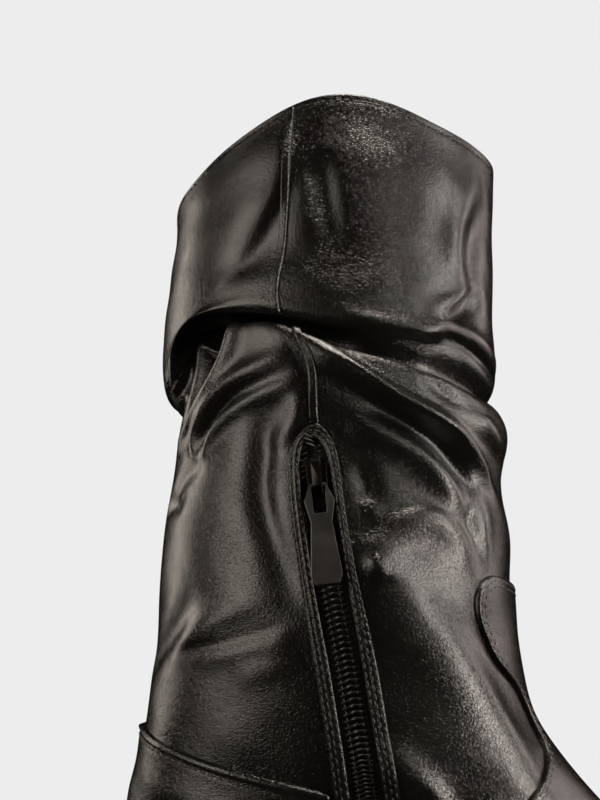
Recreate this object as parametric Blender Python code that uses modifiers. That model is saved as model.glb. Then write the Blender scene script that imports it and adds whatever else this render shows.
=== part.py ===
"""Slouched mid-calf boot with a side zip, for the left foot, empty and standing on its sole.

The boot is one hollow leather upper, lofted through closed rings that run from the feather edge, where the
upper meets the sole, up to the collar. Vamp, counter, zip facing and seam strips are bands cut between two
larger forms of the same upper. Tables and sizes are in millimetres, with +X to the toe, +Y to the outer side
of the foot, +Z up, and the origin at the centre of the heel's ground face.
"""

import bmesh
import bpy
import numpy as np
from mathutils import Matrix, Vector

MM = 0.001

# Driving sizes
GAP = 0.3  # between pieces that touch on the real boot
WALL = 1.8  # leather and lining of the upper
OVERLAY = 1.1  # a second layer of leather laid over the upper
LAYER_FOOT = 1.6  # how far up the upper such a layer starts
LAYER_HEAD = 1.6  # how far below the rim it ends
SOLE_THICK = 4.5
INSOLE_THICK = 2.6
INSOLE_INSET = 1.5  # clear of the upper's inside all round
WELT_FORE = 3.4  # how far the sole stands out past the feather edge
WELT_HEEL = 2.4
WELT_TURN = 0.36  # part of the turn at which it has fallen to the heel's value
WELT_BLEND = 0.12  # over this much of the turn
SOLE_EDGE_LOW = (1.0, 1.2)  # the ground side's edge: inset and height of its slope
SOLE_EDGE_HIGH = (0.5, 0.6)  # the same at the top
LIFT_THICK = 6.0  # rubber top piece under the heel
LIFT_TRIM = 0.4  # how far its ground face is drawn in

# Steps on the surface over which its direction is taken
TURN_STEP = 0.001
RISE_STEP = 0.2
MERGE = 1e-6  # metres

# The sole's ground side along the foot: raised by the heel, level under the ball, sprung at the toe
SEAT_HEIGHT = 46.0
SEAT_END = 27.0  # x where the seat starts to fall to the ball
TREAD_START = 110.0  # x of the level stretch
TREAD_END = 150.0
TOE_END = 226.0
TOE_SPRING = 9.0

# Stations round the foot, from the toe's middle (0) to the heel's middle (0.5) on either side
STATIONS = (
    # part of the turn, part of the length on the foot, sideways swing of the middle line
    ("front", 0.0, 1.0, -6.0),
    ("tip", 0.03, 0.968, -5.5),
    ("toe", 0.08, 0.84, -2.0),
    ("ball", 0.16, 0.655, 3.0),
    ("waist", 0.27, 0.42, 2.5),
    ("heel", 0.39, 0.165, 0.0),
    ("back", 0.5, 0.0, 0.0),
)

# Rings of the foot. `shaft` blends from the foot's stations (0) to an ellipse (1). Half widths are from the
# middle line, heights from the sole's top.
FOOT_COLUMNS = (
    "x_back x_front w_tip w_toe w_ball w_waist w_heel "
    "h_front h_tip h_toe h_ball h_waist h_heel h_back shaft"
).split()
FOOT_RINGS = {
    "feather": (-28.5, 219.0, 12.5, 28.5, 40.5, 29.0, 28.5, 0.4, 0.4, 0.4, 0.4, 0.4, 0.4, 0.4, 0.0),
    "wall": (-31.5, 222.0, 14.0, 32.0, 44.5, 32.5, 32.5, 7.0, 8.5, 11.0, 12.0, 13.0, 9.5, 10.0, 0.0),
    "shoulder": (-33.0, 217.5, 12.5, 29.5, 43.5, 35.0, 34.0, 16.0, 17.5, 23.0, 27.0, 26.5, 19.0, 19.0, 0.0),
    "toe_cap": (-33.0, 204.0, 9.5, 23.0, 38.0, 35.5, 34.0, 26.5, 28.0, 35.5, 41.5, 37.0, 28.0, 28.0, 0.0),
    "vamp_low": (-32.5, 186.0, 8.0, 18.5, 34.5, 35.5, 33.8, 37.0, 38.5, 47.5, 55.5, 43.7, 37.0, 37.0, 0.05),
    "vamp_high": (-31.5, 166.0, 7.5, 17.5, 32.5, 35.5, 33.6, 49.5, 51.0, 60.5, 68.0, 49.0, 46.0, 46.0, 0.15),
    "instep_low": (-30.0, 146.0, 7.5, 17.5, 32.0, 36.0, 33.5, 64.5, 66.5, 75.5, 75.0, 54.5, 55.0, 55.0, 0.3),
    "instep": (-28.5, 127.5, 8.0, 18.0, 33.0, 37.0, 33.0, 84.5, 86.5, 92.0, 87.0, 61.5, 64.0, 64.0, 0.5),
    "throat": (-27.0, 108.2, 8.0, 19.0, 34.5, 39.0, 31.0, 106.5, 107.5, 107.0, 96.0, 71.0, 73.0, 73.0, 0.75),
}

# Rings of the shaft, ellipses seen from above: ends in x, half width, heights of the two ends
SHAFT_COLUMNS = "x_back x_front half_width z_back z_front".split()
SHAFT_RINGS = {
    "ankle_low": (-25.6, 93.5, 41.0, 133.0, 128.0),
    "ankle": (-24.4, 84.8, 42.5, 144.0, 142.0),
    "shaft_low": (-23.0, 81.2, 44.0, 160.0, 160.0),
    "shaft_mid": (-22.6, 81.4, 45.4, 180.0, 180.0),
    "shaft_high": (-21.8, 81.8, 46.0, 199.0, 197.0),
}

# Slouch folds and cuff: how far each ring stands out from a plain tube, and how high it runs, by compass
# angle in degrees from the front, through the inner side of the foot, to the back and round the outer side
TUBE = {"x": 30.0, "half_length": 52.5, "half_width": 47.5}
ANGLES = (0, 30, 60, 90, 120, 150, 180, 210, 240, 270, 300, 330)
FOLD_OUT = {
    "roll_foot": (-1.5, -1.2, -0.6, -2.2, -2.4, -2.6, -2.6, -2.0, -1.6, -2.0, -1.6, -1.2),
    "roll_out": (1.0, 1.2, 1.2, 0.2, -0.6, -2.6, -3.4, -2.0, 0.0, 1.0, 1.5, 2.0),
    "roll_top": (0.2, 0.6, 0.6, 0.2, -0.4, -3.4, -5.4, -3.4, -0.6, 0.4, 0.4, 0.4),
    "crest": (-2.2, -1.8, -1.8, -1.8, -2.0, -6.0, -8.6, -6.0, -2.4, -1.6, -1.6, -1.8),
    "tuck": (-6.5, -6.5, -7.5, -9.0, -9.5, -13.0, -13.5, -12.0, -9.0, -8.0, -7.0, -6.5),
    "tuck_top": (-5.5, -5.5, -6.0, -7.5, -8.0, -9.5, -9.5, -9.0, -7.5, -6.5, -6.0, -5.5),
    "lip": (-2.6, -2.2, -1.4, -1.0, -1.0, -0.4, -0.4, -0.4, -0.6, -0.8, -1.4, -2.2),
    "cuff_foot": (-1.2, -0.6, 0.8, 1.4, 1.6, 2.2, 2.2, 2.0, 1.6, 1.2, 0.4, -0.6),
    "cuff_low": (-0.6, 0.2, 1.6, 1.6, 1.2, 2.6, 2.8, 2.4, 1.4, 1.2, 0.8, 0.4),
    "cuff_mid": (0.6, 1.0, 2.0, 2.4, 2.4, 2.0, 1.6, 1.8, 2.0, 2.0, 1.2, 0.8),
    "cuff_high": (2.2, 2.0, 2.2, 3.0, 3.0, 1.4, 0.2, 1.0, 2.4, 2.8, 2.2, 2.0),
    "rim": (4.0, 3.4, 3.0, 3.6, 3.4, 1.6, 0.8, 1.4, 3.0, 3.4, 3.4, 3.8),
}
FOLD_HEIGHT = {
    "roll_foot": (212.0, 212.0, 212.0, 214.0, 214.0, 214.0, 214.0, 214.0, 213.0, 213.0, 212.0, 212.0),
    "roll_out": (221.5, 220.5, 221.5, 225.0, 227.0, 226.0, 224.0, 224.0, 226.0, 225.0, 223.0, 222.0),
    "roll_top": (229.0, 226.5, 228.5, 233.5, 239.0, 237.5, 233.0, 234.0, 236.0, 233.0, 230.0, 229.5),
    "crest": (232.0, 230.0, 232.0, 237.5, 244.0, 243.0, 239.0, 240.0, 241.0, 237.5, 233.5, 232.5),
    "tuck": (232.5, 231.5, 233.5, 238.5, 245.0, 245.0, 242.5, 243.0, 243.0, 239.0, 235.0, 233.5),
    "tuck_top": (239.0, 239.5, 241.5, 244.0, 250.5, 248.5, 246.0, 247.0, 248.5, 245.0, 241.5, 239.5),
    "lip": (238.5, 239.5, 242.0, 243.8, 249.5, 243.5, 238.0, 241.0, 246.5, 244.5, 241.5, 239.0),
    "cuff_foot": (243.0, 244.0, 246.5, 248.0, 254.0, 248.0, 243.0, 246.0, 251.0, 249.0, 246.0, 243.5),
    "cuff_low": (258.0, 259.0, 260.0, 262.0, 265.0, 262.0, 259.0, 261.0, 264.0, 262.0, 260.0, 258.5),
    "cuff_mid": (281.0, 280.0, 280.0, 282.0, 281.0, 279.0, 278.0, 279.0, 281.0, 283.0, 283.0, 282.0),
    "cuff_high": (303.0, 299.0, 300.0, 303.0, 298.0, 293.0, 292.0, 293.0, 297.0, 302.0, 306.0, 306.0),
    "rim": (321.0, 315.5, 315.0, 318.5, 309.0, 302.5, 304.0, 305.5, 312.0, 320.0, 327.0, 327.0),
}

# Where every ring is read before the rings are joined into one surface: parts of a half turn
READ_AT = (0, 0.015, 0.03, 0.055, 0.08, 0.12, 0.16, 0.2, 0.235, 0.27, 0.3, 0.33, 0.36, 0.39, 0.42, 0.45, 0.475, 0.5)


def hermite_slopes(knots, values, closed):
    """Slopes at the knots of the cubic through the values whose curvature is continuous.

    A closed curve repeats its first value as its last. An open one ends with no curvature.
    """
    step = np.diff(knots)
    rise = np.diff(values, axis=0) / step.reshape(-1, *[1] * (values.ndim - 1))
    count = len(knots)
    system = np.zeros((count, count))
    right = np.zeros_like(values)
    for i in range(1, count - 1):
        system[i, i - 1 : i + 2] = step[i], 2 * (step[i - 1] + step[i]), step[i - 1]
        right[i] = 3 * (step[i] * rise[i - 1] + step[i - 1] * rise[i])
    if closed:
        system[0, 0], system[0, 1], system[0, -2] = 2 * (step[-1] + step[0]), step[-1], step[0]
        right[0] = 3 * (step[0] * rise[-1] + step[-1] * rise[0])
        system[-1, 0], system[-1, -1] = 1, -1
    else:
        system[0, :2] = 2, 1
        right[0] = 3 * rise[0]
        system[-1, -2:] = 1, 2
        right[-1] = 3 * rise[-1]
    return np.linalg.solve(system, right.reshape(count, -1)).reshape(values.shape)


def hermite_weights(knots, at):
    """For each parameter: its span, the two value weights and the two slope weights."""
    span = np.clip(np.searchsorted(knots, at, side="right") - 1, 0, len(knots) - 2)
    step = knots[span + 1] - knots[span]
    part = (at - knots[span]) / step
    value = np.stack([(1 + 2 * part) * (1 - part) ** 2, part**2 * (3 - 2 * part)])
    slope = np.stack([part * (1 - part) ** 2, part**2 * (part - 1)]) * step
    return span, value, slope


def spline(knots, values, at, closed=False):
    """Values at the given parameters of a smooth cubic through values at knots; closed has a period of 1."""
    knots = np.asarray(knots, float)
    values = np.asarray(values, float)
    at = np.asarray(at, float)
    if closed:
        knots = np.append(knots, knots[0] + 1)
        values = np.concatenate([values, values[:1]])
        at = knots[0] + (at - knots[0]) % 1
    slopes = hermite_slopes(knots, values, closed)
    span, value, slope = hermite_weights(knots, at)
    shape = at.shape + (1,) * (values.ndim - 1)
    return sum(
        value[k].reshape(shape) * values[span + k] + slope[k].reshape(shape) * slopes[span + k]
        for k in (0, 1)
    )


def both_sides(half_turn):
    """Parts of the whole turn, from the front over the outer side (+Y) to the back and home."""
    half_turn = np.asarray(half_turn, float)
    return np.concatenate([half_turn, 1 - half_turn[-2:0:-1]])


def sole_under(x):
    """Height of the sole's ground side at a place along the foot."""
    fall = np.clip((x - SEAT_END) / (TREAD_START - SEAT_END), 0, 1)
    spring = np.clip((x - TREAD_END) / (TOE_END - TREAD_END), 0, None)
    return SEAT_HEIGHT * (1 - fall**2 * (3 - 2 * fall)) + TOE_SPRING * spring**2


def foot_ring(row, turn):
    """A ring round the foot, through one point on each station and its mirror."""
    half_turn, foot_part, swing = (np.array(column) for column in list(zip(*STATIONS))[1:])
    shaft = row["shaft"]
    angle = 2 * np.pi * half_turn
    part = foot_part * (1 - shaft) + (1 + np.cos(angle)) / 2 * shaft
    width = np.array([0] + [row["w_" + n] for n in ("tip", "toe", "ball", "waist", "heel")] + [0])
    width = width * (1 - shaft) + np.abs(np.sin(angle)) * row["w_waist"] * shaft
    x = row["x_back"] + (row["x_front"] - row["x_back"]) * part
    height = [row["h_" + name] for name, *_ in STATIONS]
    swing = swing * (1 - shaft)
    outer = np.stack([x, width + swing, height], 1)
    inner = np.stack([x, swing - width, height], 1)
    ring = spline(both_sides(half_turn), np.concatenate([outer, inner[-2:0:-1]]), turn, closed=True)
    ring[:, 2] += sole_under(ring[:, 0]) + SOLE_THICK
    return ring


def shaft_ring(row, turn):
    """A tilted ellipse round the shaft."""
    angle = 2 * np.pi * turn
    part = (1 + np.cos(angle)) / 2
    x = row["x_back"] + (row["x_front"] - row["x_back"]) * part
    z = row["z_back"] + (row["z_front"] - row["z_back"]) * part
    return np.stack([x, row["half_width"] * np.sin(angle), z], 1)


def fold_ring(name, turn):
    """A ring of the slouch or the cuff, standing out from the tube by its own amount at each angle."""
    knots = np.array(ANGLES) / 360
    inner_first = (1 - turn) % 1  # the tables run by the inner side, the turn by the outer
    out = spline(knots, FOLD_OUT[name], inner_first, closed=True)
    height = spline(knots, FOLD_HEIGHT[name], inner_first, closed=True)
    angle = 2 * np.pi * turn
    x = TUBE["x"] + (TUBE["half_length"] + out) * np.cos(angle)
    y = (TUBE["half_width"] + out) * np.sin(angle)
    return np.stack([x, y, height], 1)


class Upper:
    """The outside of the upper as a smooth function of turn (0 to 1 round it) and rise (mm up it)."""

    def __init__(self):
        turn = both_sides(READ_AT)
        rings = [foot_ring(dict(zip(FOOT_COLUMNS, row)), turn) for row in FOOT_RINGS.values()]
        rings += [shaft_ring(dict(zip(SHAFT_COLUMNS, row)), turn) for row in SHAFT_RINGS.values()]
        rings += [fold_ring(name, turn) for name in FOLD_OUT]
        names = [*FOOT_RINGS, *SHAFT_RINGS, *FOLD_OUT]
        points = np.array(rings)
        apart = np.linalg.norm(np.diff(points, axis=0), axis=2).mean(axis=1)
        self.rise = np.concatenate([[0], np.cumsum(apart)])
        self.row = dict(zip(names, self.rise))
        self.turn = np.append(turn, 1.0)
        points = np.concatenate([points, points[:, :1]], axis=1)
        along = hermite_slopes(self.turn, points.swapaxes(0, 1), True).swapaxes(0, 1)
        up = hermite_slopes(self.rise, points, False)
        both = hermite_slopes(self.rise, along, False)
        self.fields = (points, along), (up, both)

    def at(self, turn, rise):
        """Points on the outside of the leather."""
        turn, rise = np.broadcast_arrays(np.asarray(turn, float) % 1, np.asarray(rise, float))
        rise = np.clip(rise, 0, self.rise[-1])
        column, turn_value, turn_slope = hermite_weights(self.turn, turn)
        row, rise_value, rise_slope = hermite_weights(self.rise, rise)
        found = 0
        for j in (0, 1):
            for i in (0, 1):
                for rise_weight, fields in zip((rise_value[j], rise_slope[j]), self.fields):
                    for turn_weight, field in zip((turn_value[i], turn_slope[i]), fields):
                        weight = rise_weight * turn_weight
                        found = found + weight[..., None] * field[row + j, column + i]
        return found

    def outward(self, turn, rise):
        """Unit normals, away from the inside."""
        turn, rise = np.broadcast_arrays(np.asarray(turn, float), np.asarray(rise, float))
        low = np.clip(rise - RISE_STEP, 0, self.rise[-1])
        high = np.clip(rise + RISE_STEP, 0, self.rise[-1])
        across = self.at(turn + TURN_STEP, rise) - self.at(turn - TURN_STEP, rise)
        up = self.at(turn, high) - self.at(turn, low)
        normal = np.cross(across, up)
        return normal / np.linalg.norm(normal, axis=-1, keepdims=True)


# Edge of the vamp and its tongue
VAMP_LINE = (
    # ring, mm above it, part of the turn from the front
    ("feather", 0, 0.268),
    ("wall", 0, 0.265),
    ("shoulder", 0, 0.262),
    ("toe_cap", 0, 0.258),
    ("vamp_low", 0, 0.252),
    ("vamp_high", 0, 0.243),
    ("instep_low", 0, 0.226),
    ("instep", 0, 0.196),
    ("throat", 0, 0.158),
    ("ankle_low", 0, 0.103),
    ("ankle_low", 5, 0.075),
    ("ankle_low", 10, 0.066),
    ("ankle", 0, 0.065),
    ("ankle", 8, 0.081),
    ("ankle", 12, 0.103),
    ("shaft_low", 0, 0.117),
    ("shaft_low", 6, 0.127),
    ("shaft_low", 11, 0.128),
    ("shaft_low", 15, 0.120),
    ("shaft_low", 18.4, 0.090),
)

# The inner side's middle line as seen from the side: zip below, seam above
SIDE_LINE = (
    # height, x
    (20, 50.0),
    (75, 42.0),
    (124, 35.0),
    (168, 28.0),
    (211, 23.0),
    (225, 22.5),
    (233, 20.4),
    (242, 14.5),
    (250, 12.6),
    (264, 13.1),
    (280, 14.4),
    (315, 16.4),
    (335, 17.0),
)
SIDE_SEARCH = (0.12, 0.46, 137)  # parts of the half turn between which it is looked for, and how many
ZIP_SLOT = 7.6  # opening between the leather edges
ZIP_STRIP = 4.2  # folded strip stitched down on each side of it
SEAM_WIDTH = 3.2  # raised strip over a side seam
NARROWING = 6.0  # mm of rise over which the slot's lines close in to the seam's
COUNTER_TOP = (143.0, 124.3)  # height of the counter's edge at the back and beside the zip
COUNTER_FADE = 26.0  # mm of rise over which the rows above and below bend to that edge

# Facets: steps from each ring to the next, and columns between the panel lines of a half turn
STEPS = dict.fromkeys([*FOOT_RINGS, *SHAFT_RINGS, *FOLD_OUT], 1)
STEPS.update(roll_foot=2, roll_out=2, tuck=2, tuck_top=2, cuff_mid=2)
TOE_SPACING = (0.0, 0.05, 0.11, 0.19, 0.3, 0.44, 0.6, 0.8, 1.0)  # columns crowd towards the toe's tip
COLUMNS = {"quarter": 4, "strip": 1, "slot": 1, "joint": 1, "back": 7}


class Facets:
    """Rows and columns laid along the panel lines, so that every piece's edge is a line of facets."""

    def __init__(self, upper):
        self.upper = upper
        self.height, self.line_x = (np.array(column) for column in zip(*SIDE_LINE))
        rings = list(upper.row)
        rises = {upper.row[ring] + above for ring, above, _ in VAMP_LINE}
        for ring, following in zip(rings, rings[1:]):
            rises.update(np.linspace(upper.row[ring], upper.row[following], STEPS[ring] + 1))
        self.rows = np.array(sorted(rises))
        self.zip_foot = self.row_of("vamp_low")
        self.zip_head = self.row_of("roll_foot")
        self.counter_head = self.row_of("ankle_low")
        self.tongue_head = self.row_of("shaft_low", VAMP_LINE[-1][1])
        self.lip = self.row_of("lip")
        self.crest = self.row_of("crest")
        outer = self.half_turn(1)
        inner = self.half_turn(-1)
        self.turn = np.concatenate([outer[0], 1 - inner[0][:, -2:0:-1]], axis=1)
        self.rise = np.concatenate([outer[1], inner[1][:, -2:0:-1]], axis=1)
        self.count = self.turn.shape[1]

    def row_of(self, ring, above=0):
        """Number of the row that runs along a ring, or a given way above it."""
        return int(np.argmin(abs(self.rows - self.upper.row[ring] - above)))

    def side_line(self, side, rise):
        """Where the middle line of a side crosses each rise, as a part of the half turn."""
        rise = np.atleast_1d(rise)
        part = np.linspace(*SIDE_SEARCH)
        point = self.upper.at(part if side > 0 else 1 - part, rise[:, None])
        ahead = point[..., 0] - spline(self.height, self.line_x, point[..., 2])
        after = np.argmax(ahead < 0, axis=1)
        every = np.arange(len(rise))
        before = ahead[every, after - 1]
        share = before / (before - ahead[every, after])
        return part[after - 1] + share * (part[1] - part[0])

    def per_mm(self, side, part, rise):
        """Part of the turn that one millimetre along the surface takes."""
        turn = part if side > 0 else 1 - part
        there = self.upper.at(turn + TURN_STEP, rise) - self.upper.at(turn - TURN_STEP, rise)
        return 2 * TURN_STEP / np.linalg.norm(there, axis=-1)

    def columns(self, side, rise):
        """Every column's part of the half turn, from front to back, at each rise."""
        rise = np.atleast_1d(rise)
        knots = [self.upper.row[ring] + above for ring, above, _ in VAMP_LINE]
        vamp = np.interp(rise, knots, [part for *_, part in VAMP_LINE])
        middle = self.side_line(side, rise)
        per_mm = self.per_mm(side, middle, rise)
        has_zip = side < 0
        head = self.rows[self.zip_head]
        narrowing = np.clip((rise - head) / NARROWING, 0, 1) if has_zip else 1
        half_slot = ZIP_SLOT / 2 + (SEAM_WIDTH - ZIP_SLOT) / 2 * narrowing
        lines = [
            vamp,
            middle - (half_slot + ZIP_STRIP) * per_mm,
            middle - half_slot * per_mm,
            middle + half_slot * per_mm,
            middle + (half_slot + ZIP_STRIP) * per_mm,
            middle + (half_slot + ZIP_STRIP + 2 * GAP) * per_mm,
            np.full_like(rise, 0.5),
        ]
        found = [vamp[:, None] * TOE_SPACING]
        steps = (COLUMNS[name] for name in ("quarter", "strip", "slot", "strip", "joint", "back"))
        for first, last, count in zip(lines, lines[1:], steps):
            share = np.arange(1, count + 1) / count
            found.append(first[:, None] + (last - first)[:, None] * share)
        return np.concatenate(found, axis=1)

    def half_turn(self, side):
        """Parts of the half turn and rises of every facet corner on one side of the boot."""
        plain = self.columns(side, self.rows)
        joint = len(TOE_SPACING) + sum(COLUMNS.values()) + COLUMNS["strip"] - COLUMNS["back"] - 1
        head = plain[self.counter_head]
        height = self.upper.at(head if side > 0 else 1 - head, self.rows[self.counter_head])[:, 2]
        behind = (head - head[joint]) / (0.5 - head[joint])
        back, front = COUNTER_TOP
        goal = np.where(behind > 0, front + (back - front) * behind, front)
        shift = (goal - height) * np.clip(head / head[joint], 0, 1)
        fade = 1 - abs(self.rows - self.rows[self.counter_head]) / COUNTER_FADE
        rise = self.rows[:, None] + shift * np.clip(fade, 0, 1)[:, None]
        part = np.stack([self.columns(side, rise[:, i])[:, i] for i in range(rise.shape[1])], axis=1)
        self.edges = dict(
            vamp=len(TOE_SPACING) - 1,
            strip_front=len(TOE_SPACING) - 1 + COLUMNS["quarter"],
            strip_back=joint - 1,
            counter=joint,
        )
        return part, rise

    def surface(self, rows, columns, lift):
        """Corner points of a block of facets, moved outwards by lift."""
        turn = self.turn[np.ix_(rows, columns)]
        rise = self.rise[np.ix_(rows, columns)]
        if lift > 0:
            rise = np.clip(rise, LAYER_FOOT, self.upper.rise[-1] - LAYER_HEAD)
        return self.upper.at(turn, rise) + lift * self.upper.outward(turn, rise)

    def ribbon(self, rises, low, high, lift):
        """A strip beside the zip's middle line, from low to high millimetres behind it."""
        part = self.side_line(-1, rises)
        per_mm = self.per_mm(-1, part, rises)
        turn = 1 - (part[:, None] + np.array([low, high]) * per_mm[:, None])
        rise = np.asarray(rises)[:, None]
        points = self.upper.at(turn, rise) + lift * self.upper.outward(turn, rise)
        return points[:, ::-1]


# Finishes: colour, roughness, metallic
FINISHES = {
    "black_leather": ((0.012, 0.011, 0.010), 0.32, 0.0),
    "black_rubber": ((0.015, 0.015, 0.015), 0.6, 0.0),
    "stacked_heel": ((0.014, 0.012, 0.011), 0.45, 0.0),
    "insole_lining": ((0.045, 0.040, 0.036), 0.8, 0.0),
    "black_tape": ((0.010, 0.010, 0.010), 0.85, 0.0),
    "black_nylon": ((0.012, 0.012, 0.012), 0.4, 0.0),
    "gunmetal": ((0.060, 0.055, 0.052), 0.38, 1.0),
}


def finish(name):
    """The material of that name, made once."""
    material = bpy.data.materials.get(name)
    if material is None:
        colour, roughness, metallic = FINISHES[name]
        material = bpy.data.materials.new(name)
        material.use_nodes = True
        shader = material.node_tree.nodes["Principled BSDF"]
        shader.inputs["Base Color"].default_value = (*colour, 1)
        shader.inputs["Roughness"].default_value = roughness
        shader.inputs["Metallic"].default_value = metallic
        material.diffuse_color = (*colour, 1)
    return material


def new_object(name, mesh, look, collection):
    """An object in its collection with its finish."""
    for polygon in mesh.polygons:
        polygon.use_smooth = look == "black_leather"
    mesh.materials.append(finish(look))
    obj = bpy.data.objects.new(name, mesh)
    collection.objects.link(obj)
    return obj


def sheet(name, points, look, collection, closed=False, hole=None):
    """An open surface through a grid of points in mm; hole is a block of faces left out (rows, columns)."""
    rows, columns = points.shape[:2]
    mesh = bpy.data.meshes.new(name)
    faces = []
    for j in range(rows - 1):
        for i in range(columns if closed else columns - 1):
            if hole and j in hole[0] and i in hole[1]:
                continue
            after = (i + 1) % columns
            faces.append((j * columns + i, j * columns + after, (j + 1) * columns + after, (j + 1) * columns + i))
    used = sorted({corner for face in faces for corner in face})
    place = {corner: k for k, corner in enumerate(used)}
    flat = points.reshape(-1, 3) * MM
    mesh.from_pydata([flat[k] for k in used], [], [[place[k] for k in face] for face in faces])
    return new_object(name, mesh, look, collection)


def thicken(obj, thickness, outwards):
    """Gives an open surface its wall, outwards or inwards from where it lies."""
    wall = obj.modifiers.new("wall", "SOLIDIFY")
    wall.thickness = thickness * MM
    wall.offset = 1 if outwards else -1
    return obj


def stack(name, levels, look, collection):
    """A closed solid through level grids from bottom to top: the first and last are its faces."""
    work = bmesh.new()
    corners = [
        [[work.verts.new(Vector(point) * MM) for point in row] for row in level] for level in levels
    ]
    rows, columns = np.shape(levels[0])[:2]
    for level in (corners[0], corners[-1]):
        for j in range(rows - 1):
            for i in range(columns - 1):
                work.faces.new((level[j][i], level[j][i + 1], level[j + 1][i + 1], level[j + 1][i]))
    rim = [(0, i) for i in range(columns)] + [(j, columns - 1) for j in range(1, rows)]
    rim += [(rows - 1, i) for i in range(columns - 2, -1, -1)] + [(j, 0) for j in range(rows - 2, 0, -1)]
    for below, above in zip(corners, corners[1:]):
        for (j, i), (k, m) in zip(rim, rim[1:] + rim[:1]):
            work.faces.new((below[j][i], below[k][m], above[k][m], above[j][i]))
    inside = [corner for level in corners[1:-1] for row in level[1:-1] for corner in row[1:-1]]
    bmesh.ops.delete(work, geom=inside, context="VERTS")
    bmesh.ops.remove_doubles(work, verts=work.verts, dist=MERGE)
    bmesh.ops.recalc_face_normals(work, faces=work.faces)
    mesh = bpy.data.meshes.new(name)
    work.to_mesh(mesh)
    work.free()
    return new_object(name, mesh, look, collection)


def prism(name, outline, low, high, look, collection):
    """An outline of (x, z) points made solid between two places on Y."""
    work = bmesh.new()
    face = work.faces.new([work.verts.new((x * MM, low * MM, z * MM)) for x, z in outline])
    made = bmesh.ops.extrude_face_region(work, geom=[face])["geom"]
    moved = [item for item in made if isinstance(item, bmesh.types.BMVert)]
    bmesh.ops.translate(work, verts=moved, vec=(0, (high - low) * MM, 0))
    bmesh.ops.recalc_face_normals(work, faces=work.faces)
    mesh = bpy.data.meshes.new(name)
    work.to_mesh(mesh)
    work.free()
    return new_object(name, mesh, look, collection)


def boolean(obj, other, operation):
    """Joins another solid to this one, or cuts it away."""
    step = obj.modifiers.new(operation.lower(), "BOOLEAN")
    step.operation = operation
    step.object = other


def plan(facets, outset):
    """The feather edge's outline from toe to heel, moved outwards: (outer side, inner side), x and y.

    Ahead of the waist, where it turns fastest, it has a point between every two columns of the upper.
    """
    half = facets.count // 2
    front = facets.edges["vamp"]
    place = np.concatenate([np.arange(0, front, 0.5), np.arange(front, half + 1)])
    found = []
    for side in (1, -1):
        part = facets.turn[0, : half + 1] if side > 0 else (1 - facets.turn[0, range(0, -half - 1, -1)]) % 1
        part = np.interp(place, np.arange(half + 1), part)
        edge = facets.upper.at(side * part, 0)
        ahead = facets.upper.at(side * part + TURN_STEP, 0) - facets.upper.at(side * part - TURN_STEP, 0)
        normal = np.stack([ahead[:, 1], -ahead[:, 0]], 1) / np.hypot(ahead[:, 0], ahead[:, 1])[:, None]
        share = outset(part) if callable(outset) else outset
        found.append(edge[:, :2] + normal * np.reshape(share, (-1, 1)))
    return found


def plate(sides, height, across=(0.0, 0.5, 1.0)):
    """A level's grid between two side outlines, at a height worked out from x."""
    outer, inner = sides
    share = np.array(across)[:, None]
    flat = outer[:, None] * (1 - share) + inner[:, None] * share
    return np.concatenate([flat, height(flat[..., :1])], axis=-1)


def welt(part):
    """How far the sole stands out from the feather edge."""
    return WELT_HEEL + (WELT_FORE - WELT_HEEL) * np.clip((WELT_TURN - part) / WELT_BLEND, 0, 1)


def make_sole(facets, collection):
    """One thin outsole from toe to seat, its lower edge drawn in a little."""
    wide = plan(facets, welt)
    inset_low, slope_low = SOLE_EDGE_LOW
    inset_high, slope_high = SOLE_EDGE_HIGH
    levels = [
        plate(plan(facets, lambda part: welt(part) - inset_low), sole_under),
        plate(wide, lambda x: sole_under(x) + slope_low),
        plate(wide, lambda x: sole_under(x) + SOLE_THICK - slope_high),
        plate(plan(facets, lambda part: welt(part) - inset_high), lambda x: sole_under(x) + SOLE_THICK),
    ]
    return stack("outsole", levels, "black_rubber", collection)


def make_insole(facets, collection):
    """The board that the foot stands on, inside the upper's lower edge."""
    sides = plan(facets, -WALL - INSOLE_INSET)
    base = SOLE_THICK + 2 * GAP
    levels = [
        plate(sides, lambda x: sole_under(x) + base),
        plate(sides, lambda x: sole_under(x) + base + INSOLE_THICK),
    ]
    return stack("insole", levels, "insole_lining", collection)


# Heel block, from the seat down: height, x of its back and of its breast, half width
HEEL_LEVELS = (
    ("seat", 1.0, -29.6, 22.5, 28.4),
    ("waist_high", 0.72, -28.4, 20.6, 26.6),
    ("waist_low", 0.38, -26.2, 19.4, 24.8),
    ("foot", 0.0, -24.6, 19.2, 24.2),
)
BACK_TURN = np.radians((0, 12, 25, 40, 55, 72, 90))
BREAST_PARTS = (0.35, 0.7, 1.0)
HEEL_TAPER = 0.05  # by which its sides close in towards the breast


def heel_level(back, breast, half, height):
    """One level of the heel: round behind, straight sides, flat breast."""
    centre = back + half
    x = np.concatenate([centre - half * np.cos(BACK_TURN), centre + (breast - centre) * np.array(BREAST_PARTS)])
    width = half * np.concatenate([np.sin(BACK_TURN), 1 - HEEL_TAPER * np.array(BREAST_PARTS)])
    return plate((np.stack([x, width], 1), np.stack([x, -width], 1)), height)


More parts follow.
